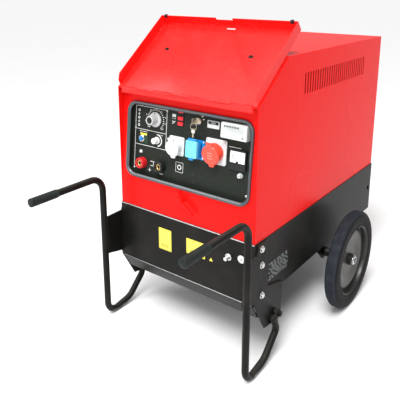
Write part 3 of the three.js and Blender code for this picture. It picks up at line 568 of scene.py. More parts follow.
def ring_of(radius, sides=20):
    angles = [2 * math.pi * i / sides for i in range(sides)]
    return [(radius * math.cos(a), radius * math.sin(a)) for a in angles]


def torus(radius, wire, sides=48, round_sides=12):
    return turned([(radius + a, b) for a, b in ring_of(wire, round_sides)], sides)


def moved(bm, matrix):
    bmesh.ops.transform(bm, matrix=matrix, verts=bm.verts)
    return bm


def at(bm, x, y, z=0.0):
    return moved(bm, Matrix.Translation((x, y, z)))


def turn_z(bm, angle):
    return moved(bm, Matrix.Rotation(angle, 4, "Z"))


def along_x(bm):
    return moved(bm, Matrix.Rotation(math.pi / 2, 4, "Y"))


def joined(*parts):
    whole = bmesh.new()
    for part in parts:
        loose = bpy.data.meshes.new("part")
        part.to_mesh(loose)
        part.free()
        whole.from_mesh(loose)
        bpy.data.meshes.remove(loose)
    return whole


def words(text, size):
    """generic digits as a flat mesh"""
    letters = bpy.data.curves.new("digits", "FONT")
    letters.body = text
    letters.size = size
    letters.align_x = letters.align_y = "CENTER"
    letters.extrude = 0.05
    letters.resolution_u = 3
    holder = bpy.data.objects.new("digits", letters)
    bpy.context.collection.objects.link(holder)
    flat = holder.to_mesh()
    bm = bmesh.new()
    bm.from_mesh(flat)
    holder.to_mesh_clear()
    bpy.data.objects.remove(holder)
    return bm


def leaning(x=0.0, v=0.0, out=0.0):
    """from (across, up the panel, out of its face) to the frame"""
    spot = FASCIA_MIDDLE + PANEL_UP * v + PANEL_OUT * (out - PANEL_DEPTH) + Vector((x, 0, 0))
    turn = Matrix((Vector((1, 0, 0)), PANEL_UP, PANEL_OUT)).transposed().to_4x4()
    return Matrix.Translation(spot) @ turn


def on_wheel(side):
    """from a body turned about Z to its place on the axle, +Z outwards"""
    turn = Matrix.Rotation(side * math.pi / 2, 4, "Y")
    return Matrix.Translation((side * WHEEL.x, WHEEL.y, WHEEL.z)) @ turn


def on_front(x, z):
    """from a body facing +Z to the tray's front"""
    return Matrix.Translation((x, TRAY_FRONT, z)) @ Matrix.Rotation(math.pi / 2, 4, "X")


def on_side(side, x, y, z):
    """from a body facing +Z to the canopy's or tray's side, +X of the body running along the side"""
    turn = Matrix(((0, 0, side), (side, 0, 0), (0, 1, 0))).to_4x4()
    return Matrix.Translation((side * x, y, z)) @ turn


def hung_on_lid():
    """from the closed lid drawn flat (x, inwards, up to the hinge) to its open place"""
    return Matrix.Translation(LID_AXIS) @ Matrix.Rotation(-LID_SWING, 4, "X")


def piece(name, bm, material, body="chassis", place=None, stands_for=(), sharp=32):
    """bakes a shape into a finished piece that rides on a body"""
    if place is not None:
        moved(bm, place)
    moved(bm, Matrix.Scale(MM, 4))
    mesh = bpy.data.meshes.new(name)
    bm.to_mesh(mesh)
    bm.free()
    mesh.materials.append(material)
    mesh.shade_smooth()
    mesh.set_sharp_from_angle(angle=math.radians(sharp))
    made = bpy.data.objects.new(name, mesh)
    bpy.context.collection.objects.link(made)
    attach(made, body)
    if stands_for:
        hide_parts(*stands_for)
    return made


def softened(node, material, width):
    """the CAD body with its facets joined and its edges rounded"""
    bm = bmesh.new()
    bm.from_mesh(NODES[node].data)
    moved(bm, Matrix.Scale(1 / MM, 4))
    bmesh.ops.remove_doubles(bm, verts=bm.verts, dist=0.01)
    bmesh.ops.dissolve_limit(bm, angle_limit=math.radians(0.6), verts=bm.verts, edges=bm.edges)
    if width:
        round_edges(bm, creases(bm, 30), width, 2)
    return piece(node + "_finished", bm, material, BODY_OF[node], stands_for=(node,), sharp=20)


# ------------------------------------------------------------------ wheels
def wheel(side_name, side):
    place = on_wheel(side)
    body = side_name + "_wheel"
    grooves = []
    for middle in (-9, -3, 3, 9):
        grooves += [(199.6, middle - 1), (198.6, middle - 0.6), (198.6, middle + 0.6), (199.6, middle + 1)]
    tread = [
        (142.6, -19.5), (150, -23.4), (168, -24), (184, -23.4), (193, -20.6), (197.5, -16), (199.6, -12.5),
    ]
    profile = tread + grooves + [(r, -x) for r, x in reversed(tread)]
    tyre = turned(profile, 128)
    piece(side_name + "_tyre_finished", tyre, TYRE, body, place, (side_name + "_tyre",), sharp=50)
    dish = [
        (16.4, -26), (24, -26), (24, -5), (30, -4.4), (60, -6), (66, -5.4), (92, 2), (100, 3.2), (114, 3),
        (120, 0), (127, -6), (133, -8.4), (136.8, -10), (136.8, -21), (138.5, -22), (142, -22), (142, 21.5),
        (140.6, 22.4), (139.2, 21.8), (136.6, 18), (136.2, -2), (134, -4), (128, -2.5), (121, 4.5), (114, 7),
        (99, 7.2), (91, 6), (65, -1.2), (60, -2), (30, -0.6), (24, 0), (24, 13), (22.6, 14), (16.4, 14),
    ]
    rim = turned(dish, 112)
    piece(side_name + "_rim_finished", rim, RIM, body, place, (side_name + "_rim",), sharp=40)
    bush = turned([
        (12.8, -29), (20, -29), (20, -26.4), (16.1, -26.4), (16.1, 14.3), (20, 14.3), (20, 15.4),
        (19.4, 16), (12.8, 16),
    ], 64)
    piece(side_name + "_hub_bush_finished", bush, BLACK_PLASTIC, body, place, (side_name + "_hub_bush",))
    washer = turned([(12.9, 16.4), (18.6, 16.4), (18.6, 18), (18, 18.5), (12.9, 18.5)], 64)
    collar = turned([(12.9, 18.5), (16.8, 18.5), (16.8, 21.6), (15.4, 23.2), (12.9, 23.2)], 64)
    nut = joined(washer, collar)
    piece(side_name + "_hub_nut_finished", nut, CHROME, "chassis", place, (side_name + "_hub_nut",))
    cap = joined(rod(12.7, 21.9, 22.6, 48), rod(6.2, 22.5, 23.2, 6))
    piece(side_name + "_axle_end", cap, BLACK_PLASTIC, "chassis", place)


# ------------------------------------------------------------------ trolley
def handle(side_name, side):
    x = side * TUBE_X
    corners = [
        (x, GRIP_END + 6, GRIP_HEIGHT),
        (x, TUBE_Y, GRIP_HEIGHT),
        (x, TUBE_Y, 3.4),
        (x, TRAY_FRONT + 47, 25),
        (x, TRAY_FRONT + 128, 104),
        (x, TRAY_FRONT + 106, 152),
    ]
    tube = swept(ring_of(12.5, 32), corners, (55, 45, 60, 26))
    y, z = LEG_BOLT
    eye = at(along_x(rod(14, -4, 4, 40, width=0.8)), x, y, z)
    web = [(TRAY_FRONT + 100, 138), (y + 4, z - 13.4), (y - 6, z + 12.6), (TRAY_FRONT + 98, 152)]
    lug = outline(web, -4, 4)
    turn = Matrix(((0, 0, 1), (1, 0, 0), (0, 1, 0))).to_4x4()
    lug = moved(lug, Matrix.Translation((x, 0, 0)) @ turn)
    bent = joined(tube, eye, lug)
    piece(side_name + "_tube_finished", bent, BLACK, stands_for=(side_name + "_handle_tube",), sharp=40)
    profile = [(0, 0), (12.4, 0), (14.6, 1.2), (15.5, 3.4), (15.5, 7.4), (14.6, 9)]
    for i in range(19):
        start = 11 + i * 5
        profile += [(15.3, start), (15.3, start + 3.2), (14.6, start + 3.8), (14.6, start + 4.4)]
    profile += [(15.2, 107), (14.0, 111.5), (12.8, 111.5), (12.8, 5.8), (0, 5.8)]
    sleeve = moved(turned(profile, 48), Matrix.Rotation(-math.pi / 2, 4, "X"))
    sleeve = at(sleeve, x, GRIP_END, GRIP_HEIGHT)
    piece(side_name + "_grip_finished", sleeve, GRIP, stands_for=(side_name + "_grip",), sharp=50)


def hex_bolt(reach, across=9.0, washer=12.0):
    """washer and domed hexagon head on a face at z 0"""
    ring = rod(washer, 0, 1.6, 40, width=0.3)
    head = rod(across, 1.6, reach, 6, width=0.8)
    dome = rod(across * 0.78, reach - 0.1, reach + 1.0, 32, top=across * 0.55)
    return joined(ring, head, dome)


def bolts(side_name, side):
    heads = []
    for y, z in ((TRAY_FRONT + 30, 448), (TRAY_FRONT + 33, 389), (TRAY_FRONT + 38, 275)):
        heads.append(moved(hex_bolt(7.6, 9.6), on_side(side, BRACKET_FACE, y, z)))
    piece(side_name + "_bracket_bolts", joined(*heads), ZINC)
    head = moved(hex_bolt(8.4, 10.6, 12.5), on_side(side, TUBE_X + 4.1, *LEG_BOLT))
    piece(side_name + "_leg_bolt", head, BLACK)


def tray_fittings():
    washer = rod(12.6, 0, 2.4, 48, width=0.4)
    nut = rod(9.8, 2.4, 8.6, 6, width=0.8)
    stud = rod(6.5, 8.6, 22.2, 32, width=1.0)
    thread = [moved(torus(6.6, 0.5, 32, 6), Matrix.Translation((0, 0, 10 + i * 1.5))) for i in range(8)]
    bolt = joined(washer, nut, stud, *thread)
    piece("earth_stud", bolt, ZINC, place=on_front(201, 397))
    disc = rod(14, 0, 0.8, 64, width=0.2)
    piece("earth_disc", disc, WHITE_PLATE, place=on_front(*EARTH_DISC))
    mark = joined(
        turned([(11.4, 0.8), (12.2, 0.8), (12.2, 0.95), (11.4, 0.95)], 64),
        block((-0.6, 0, 0.8), (0.6, 6, 0.95)),
        block((-5.5, -0.6, 0.8), (5.5, 0.6, 0.95)),
        block((-3.6, -3.0, 0.8), (3.6, -1.8, 0.95)),
        block((-1.8, -5.4, 0.8), (1.8, -4.2, 0.95)),
    )
    piece("earth_disc_mark", mark, BLACK_PLASTIC, place=on_front(*EARTH_DISC))
    for name, x0, x1, z0, z1 in (("left", -112, -52, 332, 416), ("right", 19, 102, 354, 412)):
        place = on_front((x0 + x1) / 2, (z0 + z1) / 2)
        sheet = plate(x1 - x0, z1 - z0, 3, 0, 0.7, 0.2)
        piece(name + "_yellow_plate", sheet, YELLOW, place=place)
        w, h = (x1 - x0) / 2 - 3, (z1 - z0) / 2 - 3
        rim = [block((-w, k * h - 0.5, 0.7), (w, k * h + 0.5, 0.85)) for k in (-1, 1)]
        rim += [block((k * w - 0.5, -h, 0.7), (k * w + 0.5, h, 0.85)) for k in (-1, 1)]
        for k in range(3):
            rim.append(block((-w * 0.7, -h * 0.5 - k * 5, 0.7), (w * 0.6, 1.6 - h * 0.5 - k * 5, 0.85)))
        piece(name + "_yellow_plate_lines", joined(*rim), BLACK_PLASTIC, place=place)
    small = outline([(-7, -5), (7, -5), (0, 7)], 0, 0.6)
    piece("small_yellow_plate", small, YELLOW, place=on_front(128, 362))
    # pale strips along the tray's top front edge and its lower crease: painted highlights where the folded
    # edges catch the light
    top_edge_highlight = at(along_x(rod(2.0, -302, 302, 16)), 0, TRAY_FRONT - 0.6, 468)
    crease = at(along_x(rod(1.2, -296, 296, 12)), 0, TRAY_FRONT - 0.3, 246)
    piece("tray_edge_highlight", joined(top_edge_highlight, crease), HIGHLIGHT_STRIP)
    rivets = [moved(rod(4.2, 0, 1.4, 24, top=2.6), on_front(x, z)) for x in (-255, 262) for z in (290, 438)]
    piece("tray_rivets", joined(*rivets), BLACK)


def rating_plate():
    """blank rows of print on the tray's side"""
    rows = []
    for i in range(8):
        start, z = (2, 20, 2, 14, 2, 26, 8, 2)[i], 361 - i * 8.4
        for k in range(7):
            length = 6 + (i * 5 + k * 7) % 9
            if start + length > 138:
                break
            dash = block((start, -1.5, 0), (start + length, 1.5, 0.2))
            rows.append(moved(dash, on_side(1, TRAY_SIDE, TRAY_FRONT + 90, z)))
            start += length + 5 + (i + k) % 3 * 4
    piece("rating_rows", joined(*rows), PRINT_DIM)


# ------------------------------------------------------------------ canopy
def canopy_fittings():
    for side_name, side in SIDES:
        rivets = []
        for y in (-18, 161, 345, 525):
            rivets.append(moved(rod(4.4, 0, 1.5, 24, top=2.8), on_side(side, CANOPY_SIDE, y, 901)))
        piece(side_name + "_rivets", joined(*rivets), RED)
        # a near-black sheet behind the grille slots: painted shade for the dark inside of the canopy
        sheet = block((-2, -22, 906), (2, 600, 1004), 0.8, 2)
        piece(side_name + "_grille_shade_sheet", at(sheet, side * 294, 0), SLOT_SHADE)
    clips = []
    for x in (-196, 172):
        base = block((x - 9, -2.2, -210), (x + 9, -1.0, -196), 0.4, 2)
        hook = block((x - 4, -1.2, -207), (x + 4, 3.4, -203), 0.8, 2)
        clips.append(joined(base, hook))
    piece("lid_clips", joined(*clips), BLACK, "lid", hung_on_lid())


def rubber_frame():
    """bulb profile carried round the opening"""
    w, h = [(whole - FRAME_BAND) / 2 for whole in FRAME_SIZE]
    section = [
        (-6.3, 0.4), (6.3, 0.4), (6.3, 2.0), (5.7, 3.0), (-1.2, 8.6), (-2.6, 8.9), (-4.4, 8.2), (-5.8, 6.4),
        (-6.3, 4.2),
    ]
    corners = [(-w, -h, 0), (w, -h, 0), (w, h, 0), (-w, h, 0), (-w, -h, 0)]
    band = swept([(b, -a) for a, b in section], corners, (FRAME_CORNER,) * 4, steps=12)
    place = leaning(0, 0, PANEL_DEPTH)
    piece("panel_frame_finished", band, SEAL, place=place, stands_for=("panel_frame",), sharp=30)


# ------------------------------------------------------------------ control panel
def on_panel(name, bm, material, x, v, stands_for=(), body="chassis", slot=None, sharp=32):
    """a piece drawn facing +Z, set on the panel at x across and v up from its middle"""
    if stands_for:
        body = BODY_OF[stands_for[0]]
    return piece(name, bm, material, body, leaning(x, v), stands_for, sharp)


def fluted(radius, z0, z1, flutes=14, depth=0.07):
    """a grip with shallow flutes round it"""
    steps = flutes * 6
    points = []
    for i in range(steps):
        angle = 2 * math.pi * i / steps
        reach = radius * (1 - depth * (0.5 - 0.5 * math.cos(flutes * angle)) ** 2)
        points.append((reach * math.cos(angle), reach * math.sin(angle)))
    bm = outline(points, z0, z1)
    round_edges(bm, upper_rim(bm, z1), 1.0)
    return bm


def knobs():
    x, v = CONTROL["current_knob"]
    skirt = turned([(0, 1), (28, 1), (28, 2.4), (26.4, 6.2), (19, 7.4), (0, 7.4)], 96, 0.5)
    grip = fluted(17, 6.8, 34.6)
    lip = turned([(12.4, 34), (16.2, 34), (16.2, 35.2), (15.4, 35.9), (12.4, 35.4)], 64)
    shaft = rod(5, -12, 2, 24)
    knob = joined(skirt, grip, lip, shaft)
    on_panel("current_knob_finished", knob, KNOB_GREY, x, v, ("current_knob",))
    cap = rod(12.2, 34, 35.0, 48, width=0.4)
    on_panel("current_knob_cap", cap, BLACK_PLASTIC, x, v, body="current_knob", slot="black_plastic")
    line = block((-0.9, 17.4, 6.9), (0.9, 26.0, 7.7))
    on_panel("current_knob_line", line, BLACK_PLASTIC, x, v, body="current_knob", slot="black_plastic")
    x, v = CONTROL["arc_knob"]
    base = turned([(0, 1), (13.8, 1), (13.8, 2.6), (12.6, 4.4), (0, 4.4)], 64, 0.4)
    small = joined(base, fluted(11, 4, 21.4, 10, 0.06), rod(5, -12, 2, 24))
    on_panel("arc_knob_finished", small, WHITE_PLASTIC, x, v, ("arc_knob",))
    pointer = block((-0.7, 2, 21.3), (0.7, 10, 21.9))
    on_panel("arc_knob_line", pointer, BLACK_PLASTIC, x, v, body="arc_knob", slot="black_plastic")


def buttons():
    x, v = CONTROL["push_button"]
    button = turned([(0, -14), (7.9, -14), (7.9, 9.4), (6.8, 10.8), (0, 10.2)], 48)
    on_panel("push_button_finished", button, BLUE_PLASTIC, x, v, ("push_button",))
    collar = turned([(8.7, 4.2), (12.6, 0.2), (13.2, 0.2), (13.2, 4.4), (11.8, 5.8), (8.7, 5.8)], 48)
    on_panel("push_button_collar", collar, ZINC, x, v, slot="zinc_plate")
    x, v = CONTROL["button_plate"]
    under = plate(40, 30, 2, 0.05, 0.5)
    on_panel("push_button_plate", under, BOARD_GREEN, x, v, slot="black_plastic")
    strip = plate(32, 7, 1, 0.5, 0.9)
    on_panel("push_button_label", strip, YELLOW, x, v + 18.5, slot="white_plastic")
    lens = turned([(0, 0.1), (6.0, 0.1), (6.0, 2.4), (5.4, 3.0), (4.2, 3.2), (3.4, 6.2), (0, 6.9)], 40)
    on_panel("indicator_lens", lens, WHITE_PLASTIC, *CONTROL["indicator"], slot="white_plastic")


def terminals():
    for name, colour in (("plus", DEEP_RED), ("minus", BLACK_PLASTIC)):
        x, v = CONTROL[name]
        collar = [
            (13.1, 0.3), (20.8, 0.3), (20.8, 18.6), (20.0, 21.6), (18.2, 24.0), (16.6, 24.9), (14.4, 24.9),
            (13.1, 23.4),
        ]
        rear = [(7, -34), (15, -34), (15, 3), (13.1, 4.6), (7, 4.6)]
        shell = joined(turned(collar, 64), turned(rear, 48))
        on_panel(name + "_socket_finished", shell, colour, x, v, (name + "_socket",), sharp=40)
        insert = [
            (0, -30), (6.5, -30), (6.5, 4.9), (12.3, 4.9), (12.3, 18.2), (11.6, 19.0), (6.9, 19.0),
            (6.1, 18.2), (6.1, -20), (0, -20),
        ]
        on_panel(name + "_insert_finished", turned(insert, 64), BRASS, x, v, (name + "_insert",), sharp=40)


def lamps():
    x, v = CONTROL["lamps"]
    back = plate(27, 62, 2, 0.3, 1.9, 0.3)
    on_panel("lamp_strip_back", back, BLACK_PLASTIC, x, v, ("lamp_strip",))
    for i, (rise, high) in enumerate(((21, 9), (-3, 13), (-22, 13))):
        lens = plate(23, high, 1.6, 1.8, 4.9, 0.8)
        on_panel("lamp_lens_" + str(i + 1), lens, LAMP_RED, x, v + rise, slot="lamp_red")


def ignition():
    x, v = CONTROL["ignition"]
    bezel = turned([
        (3.5, 0.3), (14.8, 0.3), (14.8, 2.8), (13.4, 4.0), (11.4, 8.2), (10.2, 8.9), (3.5, 8.9),
    ], 64)
    barrel = turned([(3.5, -26), (10.9, -26), (10.9, 1), (3.5, 1)], 40)
    on_panel("key_switch_finished", joined(bezel, barrel), NICKEL, x, v, ("key_switch",), sharp=40)
    softened("key", NICKEL, 0.3)
    ring = at(torus(13, 0.8, 64, 10), 0, -18, 25)
    spare = at(plate(15, 17, 5, -0.8, 0.8, 0.2), 0, -33, 25)
    blade = at(plate(5.5, 16, 1.2, -0.8, 0.8), 0, -47, 25)
    on_panel("key_ring_finished", joined(ring, spare, blade), NICKEL, x, v, ("key_ring",))
    head = at(plate(12.6, 9, 3.4, -0.9, 0.9, 0.2), 0, -34.5, 25)
    on_panel("spare_key_head", head, WHITE_PLASTIC, x, v, body="key_ring", slot="white_plastic")


def hour_meter():
    x, v = CONTROL["hour_meter"]
    bezel = plate(49, 26, 2.5, 0.3, 3.8, 0.6)
    on_panel("hour_meter_finished", bezel, GREY_PLASTIC, x, v, ("hour_meter",))
    window = plate(42, 10, 1, 3.7, 4.0)
    on_panel("hour_meter_window", window, BLACK_PLASTIC, x, v + 5.5, slot="black_plastic")
    digits = at(words("00482", 7.2), 0, 0, 4.0)
    on_panel("hour_meter_digits", digits, WHITE_PRINT, x, v + 5.5, slot="white_plastic")


def breaker():
    x, v = CONTROL["breaker"]
    softened("breaker_box", GREY_PLASTIC, 0.8)
    rows = []
    for i in range(4):
        rows.append(at(plate(20.4, 33, 1.0, 9.05, 10.6, 0.4), -31.8 + i * 21.2, -2))
    on_panel("breaker_faces", joined(*rows), WHITE_PLASTIC, x, v, slot="white_plastic")
    softened("breaker_toggle", BLACK_PLASTIC, 0.5)
    cover = plate(98, 47, 2.4, 27.4, 29.9, 0.5)
    knuckle = at(along_x(rod(2.2, -34, 34, 20)), 0, 23.5, 29.6)
    on_panel("breaker_cover_finished", at(joined(cover, knuckle), 0, -1), CLEAR, x, v, ("breaker_cover",))
    marks = [at(block((-3.6, -2.6, 29.9), (3.6, 2.6, 30.0)), -34 + i * 10, 14.5) for i in range(6)]
    marks.append(at(rod(2.6, 29.9, 30.0, 24), 36, -16))
    on_panel("breaker_marks", joined(*marks), PRINT_GREY, x, v, body="breaker_cover", slot="black_plastic")


def panel_meter():
    x, v = CONTROL["panel_meter"]
    case = plate(65, 68, 3, 0.3, 11.6, 0.9)
    on_panel("panel_meter_finished", case, BLACK_PLASTIC, x, v, ("panel_meter",))
    face = plate(57, 38, 2, 11.5, 11.9)
    on_panel("panel_meter_face", face, WHITE_PLASTIC, x, v + 10, slot="white_plastic")
    dial = []
    for i in range(11):
        angle = math.radians(130 - i * 8)
        tick = block((-0.6, 27, 11.9), (0.6, 32.5 if i % 5 == 0 else 30, 11.98))
        dial.append(at(turn_z(tick, angle - math.pi / 2), 0, -20))
    needle = at(turn_z(block((-0.8, 4, 11.9), (0.8, 30, 12.0)), math.radians(38)), 0, -20)
    dial.append(at(rod(5, 11.9, 12.0, 24), 0, -18))
    on_panel("panel_meter_scale", joined(*dial, needle), BLACK_PLASTIC, x, v + 10, slot="black_plastic")


def fuse():
    x, v = CONTROL["fuse"]
    flange = turned([(0, 0.3), (9.4, 0.3), (9.4, 2.8), (8.6, 3.9), (0, 3.9)], 48)
    cap = turned([(0, 3.5), (6.9, 3.5), (6.9, 12.0), (6.0, 12.9), (0, 12.9)], 48)
    on_panel("fuse_holder_finished", joined(flange, cap), GREY_PLASTIC, x, v, ("fuse_holder",))
    slit = block((-4.4, -0.8, 12.8), (4.4, 0.8, 13.0))
    on_panel("fuse_slot", slit, BLACK_PLASTIC, x, v, slot="black_plastic")


def flange_screws(half, out):
    spots = [(sx * half, sy * half) for sx in (-1, 1) for sy in (-1, 1)]
    return [at(rod(3.4, out, out + 1.2, 24, top=2.2), x, y) for x, y in spots]


def round_socket(name, flange, radius, reach, paint):
    x, v = CONTROL[name]
    tilt = Matrix.Rotation(SOCKET_TILT, 4, "X")
    base = plate(flange, flange, 7, 0.3, 4.9, 1.2)
    on_panel(name + "_socket_finished", base, GREY_PLASTIC, x, v, (name + "_socket",))
    screws = joined(*flange_screws(flange / 2 - 6.5, 4.8))
    on_panel(name + "_socket_screws", screws, ZINC, x, v, slot="zinc_plate")
    bore, outer = radius - 4, radius - 0.6
    barrel = turned([(bore, 3), (outer, 3), (outer, reach - 2), (radius - 1.4, reach), (bore, reach)], 72)
    floor = rod(radius - 3.9, 3, 5, 48)
    pins = [at(rod(2.4, 4.9, reach - 6, 16), 0.52 * radius * math.cos(a), 0.52 * radius * math.sin(a))
            for a in (math.pi / 2, math.pi * 7 / 6, math.pi * 11 / 6)]
    inside = moved(joined(barrel, floor, *pins), tilt)
    bmesh.ops.bisect_plane(
        inside, geom=inside.verts[:] + inside.edges[:] + inside.faces[:],
        plane_co=(0, 0, 1.0), plane_no=(0, 0, 1), clear_inner=True,
    )
    on_panel(name + "_socket_well", inside, paint, x, v, slot=SLOT_OF[name + "_socket"])
    edge = radius + 2.5
    disc = turned([
        (0, reach + 0.6), (edge - 1.5, reach + 0.6), (edge, reach + 1.6), (edge, reach + 4.4),
        (edge - 2.4, reach + 7.2), (edge - 7, reach + 7.9), (0, reach + 7.9),
    ], 80)
    hinge = at(plate(24, 16, 3, reach + 0.8, reach + 6.4, 1.0), 0, radius + 4)
    thumb = at(plate(21, 13, 5, reach + 0.8, reach + 5.0, 1.0), 0, -radius - 3)
    knuckle = at(along_x(rod(3.1, -13, 13, 24, width=0.5)), 0, radius + 10, reach + 3.2)
    cap = moved(joined(disc, hinge, thumb, knuckle), tilt)
    on_panel(name + "_cap_finished", cap, paint, x, v, (name + "_cap",), sharp=40)
    bars = []
    for k in (-1, 0, 1):
        bars.append(at(plate(0.56 * radius, 2.2, 0.9, reach + 7.6, reach + 8.0), 0, k * 0.3 * radius))
    bars = moved(joined(*bars), tilt)
    # on the red cap the bars are pale pink: painted highlight on the raised ribs
    tone = BAR_HIGHLIGHT if name == "red" else paint
    on_panel(name + "_cap_bars", bars, tone, x, v, body=name + "_cap", slot=SLOT_OF[name + "_cap"])


def square_socket():
    x, v = CONTROL["blue"]
    base = plate(68, 68, 6, 0.3, 4.9, 1.2)
    hull = plate(46, 52, 5, 4.5, 8, 0)
    walls = [
        block((-23, -26, 4.5), (-19, 26, 23.8), 0.6, 2),
        block((19, -26, 4.5), (23, 26, 23.8), 0.6, 2),
        block((-22, -26, 4.5), (22, -21.5, 23.8), 0.6, 2),
        block((-22, 21.5, 4.5), (22, 26, 23.8), 0.6, 2),
    ]
    on_panel("blue_socket_finished", joined(base, hull, *walls), BLUE_PLASTIC, x, v, ("blue_socket",))
    on_panel("blue_socket_screws", joined(*flange_screws(28, 4.8)), ZINC, x, v, slot="zinc_plate")
    # the lid's front pane is pale blue against the deep blue body: painted light on the lit face, painted
    # shade on the body
    pane = at(plate(48, 60, 5, 24.7, 33.8, 1.6), -3, 3)
    barrel = at(along_x(rod(4.9, -17.8, 17.8, 32, width=0.7)), 0, 36, 29)
    thumb = at(plate(20, 10, 3, 27, 32, 0.8), -3, -30)
    on_panel("blue_lid_finished", joined(barrel, thumb), BLUE_PLASTIC, x, v, ("blue_cap",))
    on_panel("blue_lid_pane", pane, LIT_FACE_BLUE, x, v, body="blue_cap", slot=SLOT_OF["blue_cap"])


def bar(x0, v0, x1, v1):
    """a flat bar of print"""
    return block((x0, v0, 0.0), (x1, v1, PRINT_RISE))


def panel_print():
    """white lines, dial ticks and generic signs"""
    low, high = 0.0, PRINT_RISE
    lines = [
        bar(-256, 121.6, -105, 123.4),
        bar(-256, 34.8, -105, 36.6),
        bar(-256, -24.0, -105, -22.2),
        bar(-257.0, -118, -255.0, 123.4),
        bar(-106.0, -24.0, -104.0, 123.4),
    ]
    for i in range(25):
        angle = math.radians(225 - i * 11.25)
        long = i % 3 == 0
        tick = bar(-1.2, 35.5, 1.2, 43 if long else 40.5)
        lines.append(at(turn_z(tick, angle - math.pi / 2), *CONTROL["dial"]))
    for i in range(9):
        angle = math.radians(225 - i * 33.75)
        x, v = CONTROL["dial"]
        lines.append(at(words(str(i), 9), x + 50 * math.cos(angle), v + 39.5 * math.sin(angle), 0.1))
    arc = bmesh.new()
    span = math.radians(170)
    verts = [arc.verts.new((r, 0, z)) for r, z in ((19, low), (23.5, low), (23.5, high), (19, high))]
    edges = [arc.edges.new((verts[i - 1], verts[i])) for i in range(4)]
    face = arc.faces.new(verts)
    bmesh.ops.spin(arc, geom=[face, *verts, *edges], cent=(0, 0, 0), axis=(0, 0, 1), angle=span, steps=28)
    bmesh.ops.recalc_face_normals(arc, faces=arc.faces)
    lines.append(at(turn_z(arc, math.radians(-80)), *CONTROL["arc_knob"]))
    beside_lamps = -72
    lines.append(at(bar(-8, -5, 8, 5), beside_lamps, 109))
    for x0, v0, x1, v1 in ((-7, -6, 7, -5), (-7, 5, 7, 6), (-7, -6, -6, 6), (6, -6, 7, 6)):
        lines.append(at(bar(x0, v0, x1, v1), beside_lamps, 103))
    lines.append(at(turn_z(bar(-9, -1.1, 9, 1.1), 0.7), beside_lamps, 84))
    lines.append(at(turn_z(bar(-9, -1.1, 2, 1.1), -0.7), beside_lamps, 84))
    for k in range(5):
        sign = turned([(2.6, low), (5.0, low), (5.0, high), (2.6, high)], 32)
        if k % 2:
            sign = joined(bar(-5, -1, 5, 1), bar(-1, -5, 1, 5))
        lines.append(at(sign, -240, 106 - k * 14))
    for k in range(6):
        lines.append(at(bar(-1.8, -1.4, 1.8, 1.4), -232 + k * 6.5, 28))
        lines.append(at(bar(-1.4, -1.2, 1.4, 1.2), -150 + k * 5.5, 27))
    lines += [
        at(bar(-7, -1.2, 7, 1.2), -178, -112),
        at(bar(-1.2, -7, 1.2, 7), -178, -112),
        at(bar(-8, -1.4, 8, 1.4), -120, -116),
        at(bar(-10, -1, 10, 1), -166, -78),
        at(bar(-1, -8, 1, 8), -160, -86),
        at(bar(-10, -1, 10, 1), -166, -94),
    ]
    box = ((-54, -92, -20, -90.6), (-54, -56.4, -20, -55), (-54, -92, -52.6, -55), (-21.4, -92, -20, -55))
    for x0, v0, x1, v1 in box:
        lines.append(bar(x0, v0, x1, v1))
    lines.append(at(turned([(6, low), (9.5, low), (9.5, high), (6, high)], 48), -37, -73.5))
    for k, turn in enumerate((-0.9, -0.45, 0.0, 0.45)):
        mark = bar(-1.6, 21, 1.6, 32 if k % 2 else 28)
        lines.append(at(turn_z(mark, turn - 0.35), *CONTROL["ignition"]))
    lines.append(bar(168, 40, 216, 42))
    on_panel("panel_print", joined(*lines), WHITE_PRINT, 0, 0, slot="white_plastic")
    screws = []
    for x, v in ((-256, 122), (-105, 122), (-256, 36), (248, 101), (-256, -118), (248, -112)):
        head = turned([(0, 0.1), (4.4, 0.1), (4.4, 1.0), (3.4, 2.2), (0, 2.6)], 32)
        screws.append(at(head, x, v))
    on_panel("panel_screws", joined(*screws), ZINC, 0, 0, slot="zinc_plate")


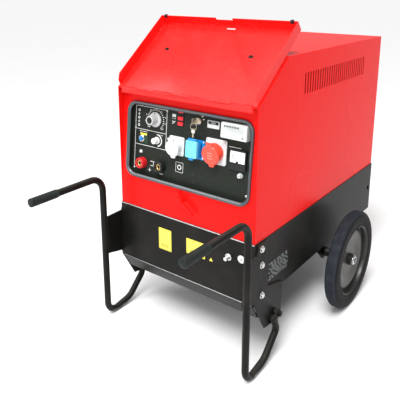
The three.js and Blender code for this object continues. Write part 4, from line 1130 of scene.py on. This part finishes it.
# ------------------------------------------------------------------ assembly
PRINT_DIM = moulded("faded print", (0.26, 0.30, 0.30), (0.40, 0.45, 0.44), 0.5)
# painted highlight: the red cap's ribs drawn pale as where they catch the light
BAR_HIGHLIGHT = moulded("red cap bars, painted highlight", (0.90, 0.30, 0.22), (0.96, 0.38, 0.30), 0.35)
# painted shade: near-black for the sheet behind the grille slots
SLOT_SHADE = moulded("painted shade behind grille", (0.007, 0.004, 0.004), (0.015, 0.008, 0.007), 0.85, 0.0)
# painted highlight: pale metal for the strips along the tray's front edges
HIGHLIGHT_STRIP = plain_metal("painted highlight strip", (0.40, 0.41, 0.42), (0.72, 0.72, 0.72), 0.25)
PRINT_GREY = moulded("grey print", (0.06, 0.08, 0.08), (0.10, 0.12, 0.12), 0.5)
BOARD_GREEN = moulded("green label", (0.010, 0.035, 0.018), (0.018, 0.055, 0.028), 0.5)

PAINTED = {
    RED: ("left_side_panel", "right_side_panel", "rear_panel", "front_fascia", "roof_panel", "latch_lever"),
    RED_SHEEN: ("lid",),
    RED_EDGE: ("lid_hinge",),
    BLACK: ("base_tray", "front_cross_member", "left_bracket", "right_bracket", "left_axle_bracket",
            "right_axle_bracket"),
    LACQUER: ("control_panel",),
    ZINC: ("axle",),
    GRIP: ("left_lid_buffer", "right_lid_buffer"),
    CAST: ("alternator", "engine"),
    TANK: ("fuel_tank",),
    BLACK_PLASTIC: ("battery",),
    HEATED: ("silencer",),
    ALLOY: ("power_module",),
}
EDGE_WIDTH = {  # where the rounding of a painted piece's edges isn't the usual one
    "left_side_panel": 0, "right_side_panel": 0, "rear_panel": 0, "roof_panel": 0, "base_tray": 1.2,
    "lid_hinge": 0.4, "left_lid_buffer": 0.8, "right_lid_buffer": 0.8, "latch_lever": 1.2,
}
USUAL_EDGE = 0.6

camera()
pale_floor()
daylight()
softbox("key_light", (0.9, -3.4, 2.2), (0, -0.2, 0.6), (1.8, 1.4), 34)
softbox("side_light", (3.6, 0.9, 1.9), (0, 0.2, 0.7), (1.8, 1.8), 6)
softbox("band_light", (-1.7, -1.5, 2.8), (0, -0.32, 0.66), (1.2, 1.2), 26)
softbox("top_light", (0.1, -0.9, 3.5), (0, -0.25, 0.9), (2.4, 1.4), 60)

for material, nodes in PAINTED.items():
    for node in nodes:
        softened(node, material, EDGE_WIDTH.get(node, USUAL_EDGE))
for side_name, side in SIDES:
    wheel(side_name, side)
    handle(side_name, side)
    bolts(side_name, side)
tray_fittings()
rating_plate()
canopy_fittings()
rubber_frame()
panel_print()
knobs()
buttons()
terminals()
lamps()
ignition()
hour_meter()
breaker()
panel_meter()
fuse()
round_socket("white", 68, 27, 26, WHITE_PLASTIC)
round_socket("red", 86, 33, 32, RED_PLASTIC)
square_socket()
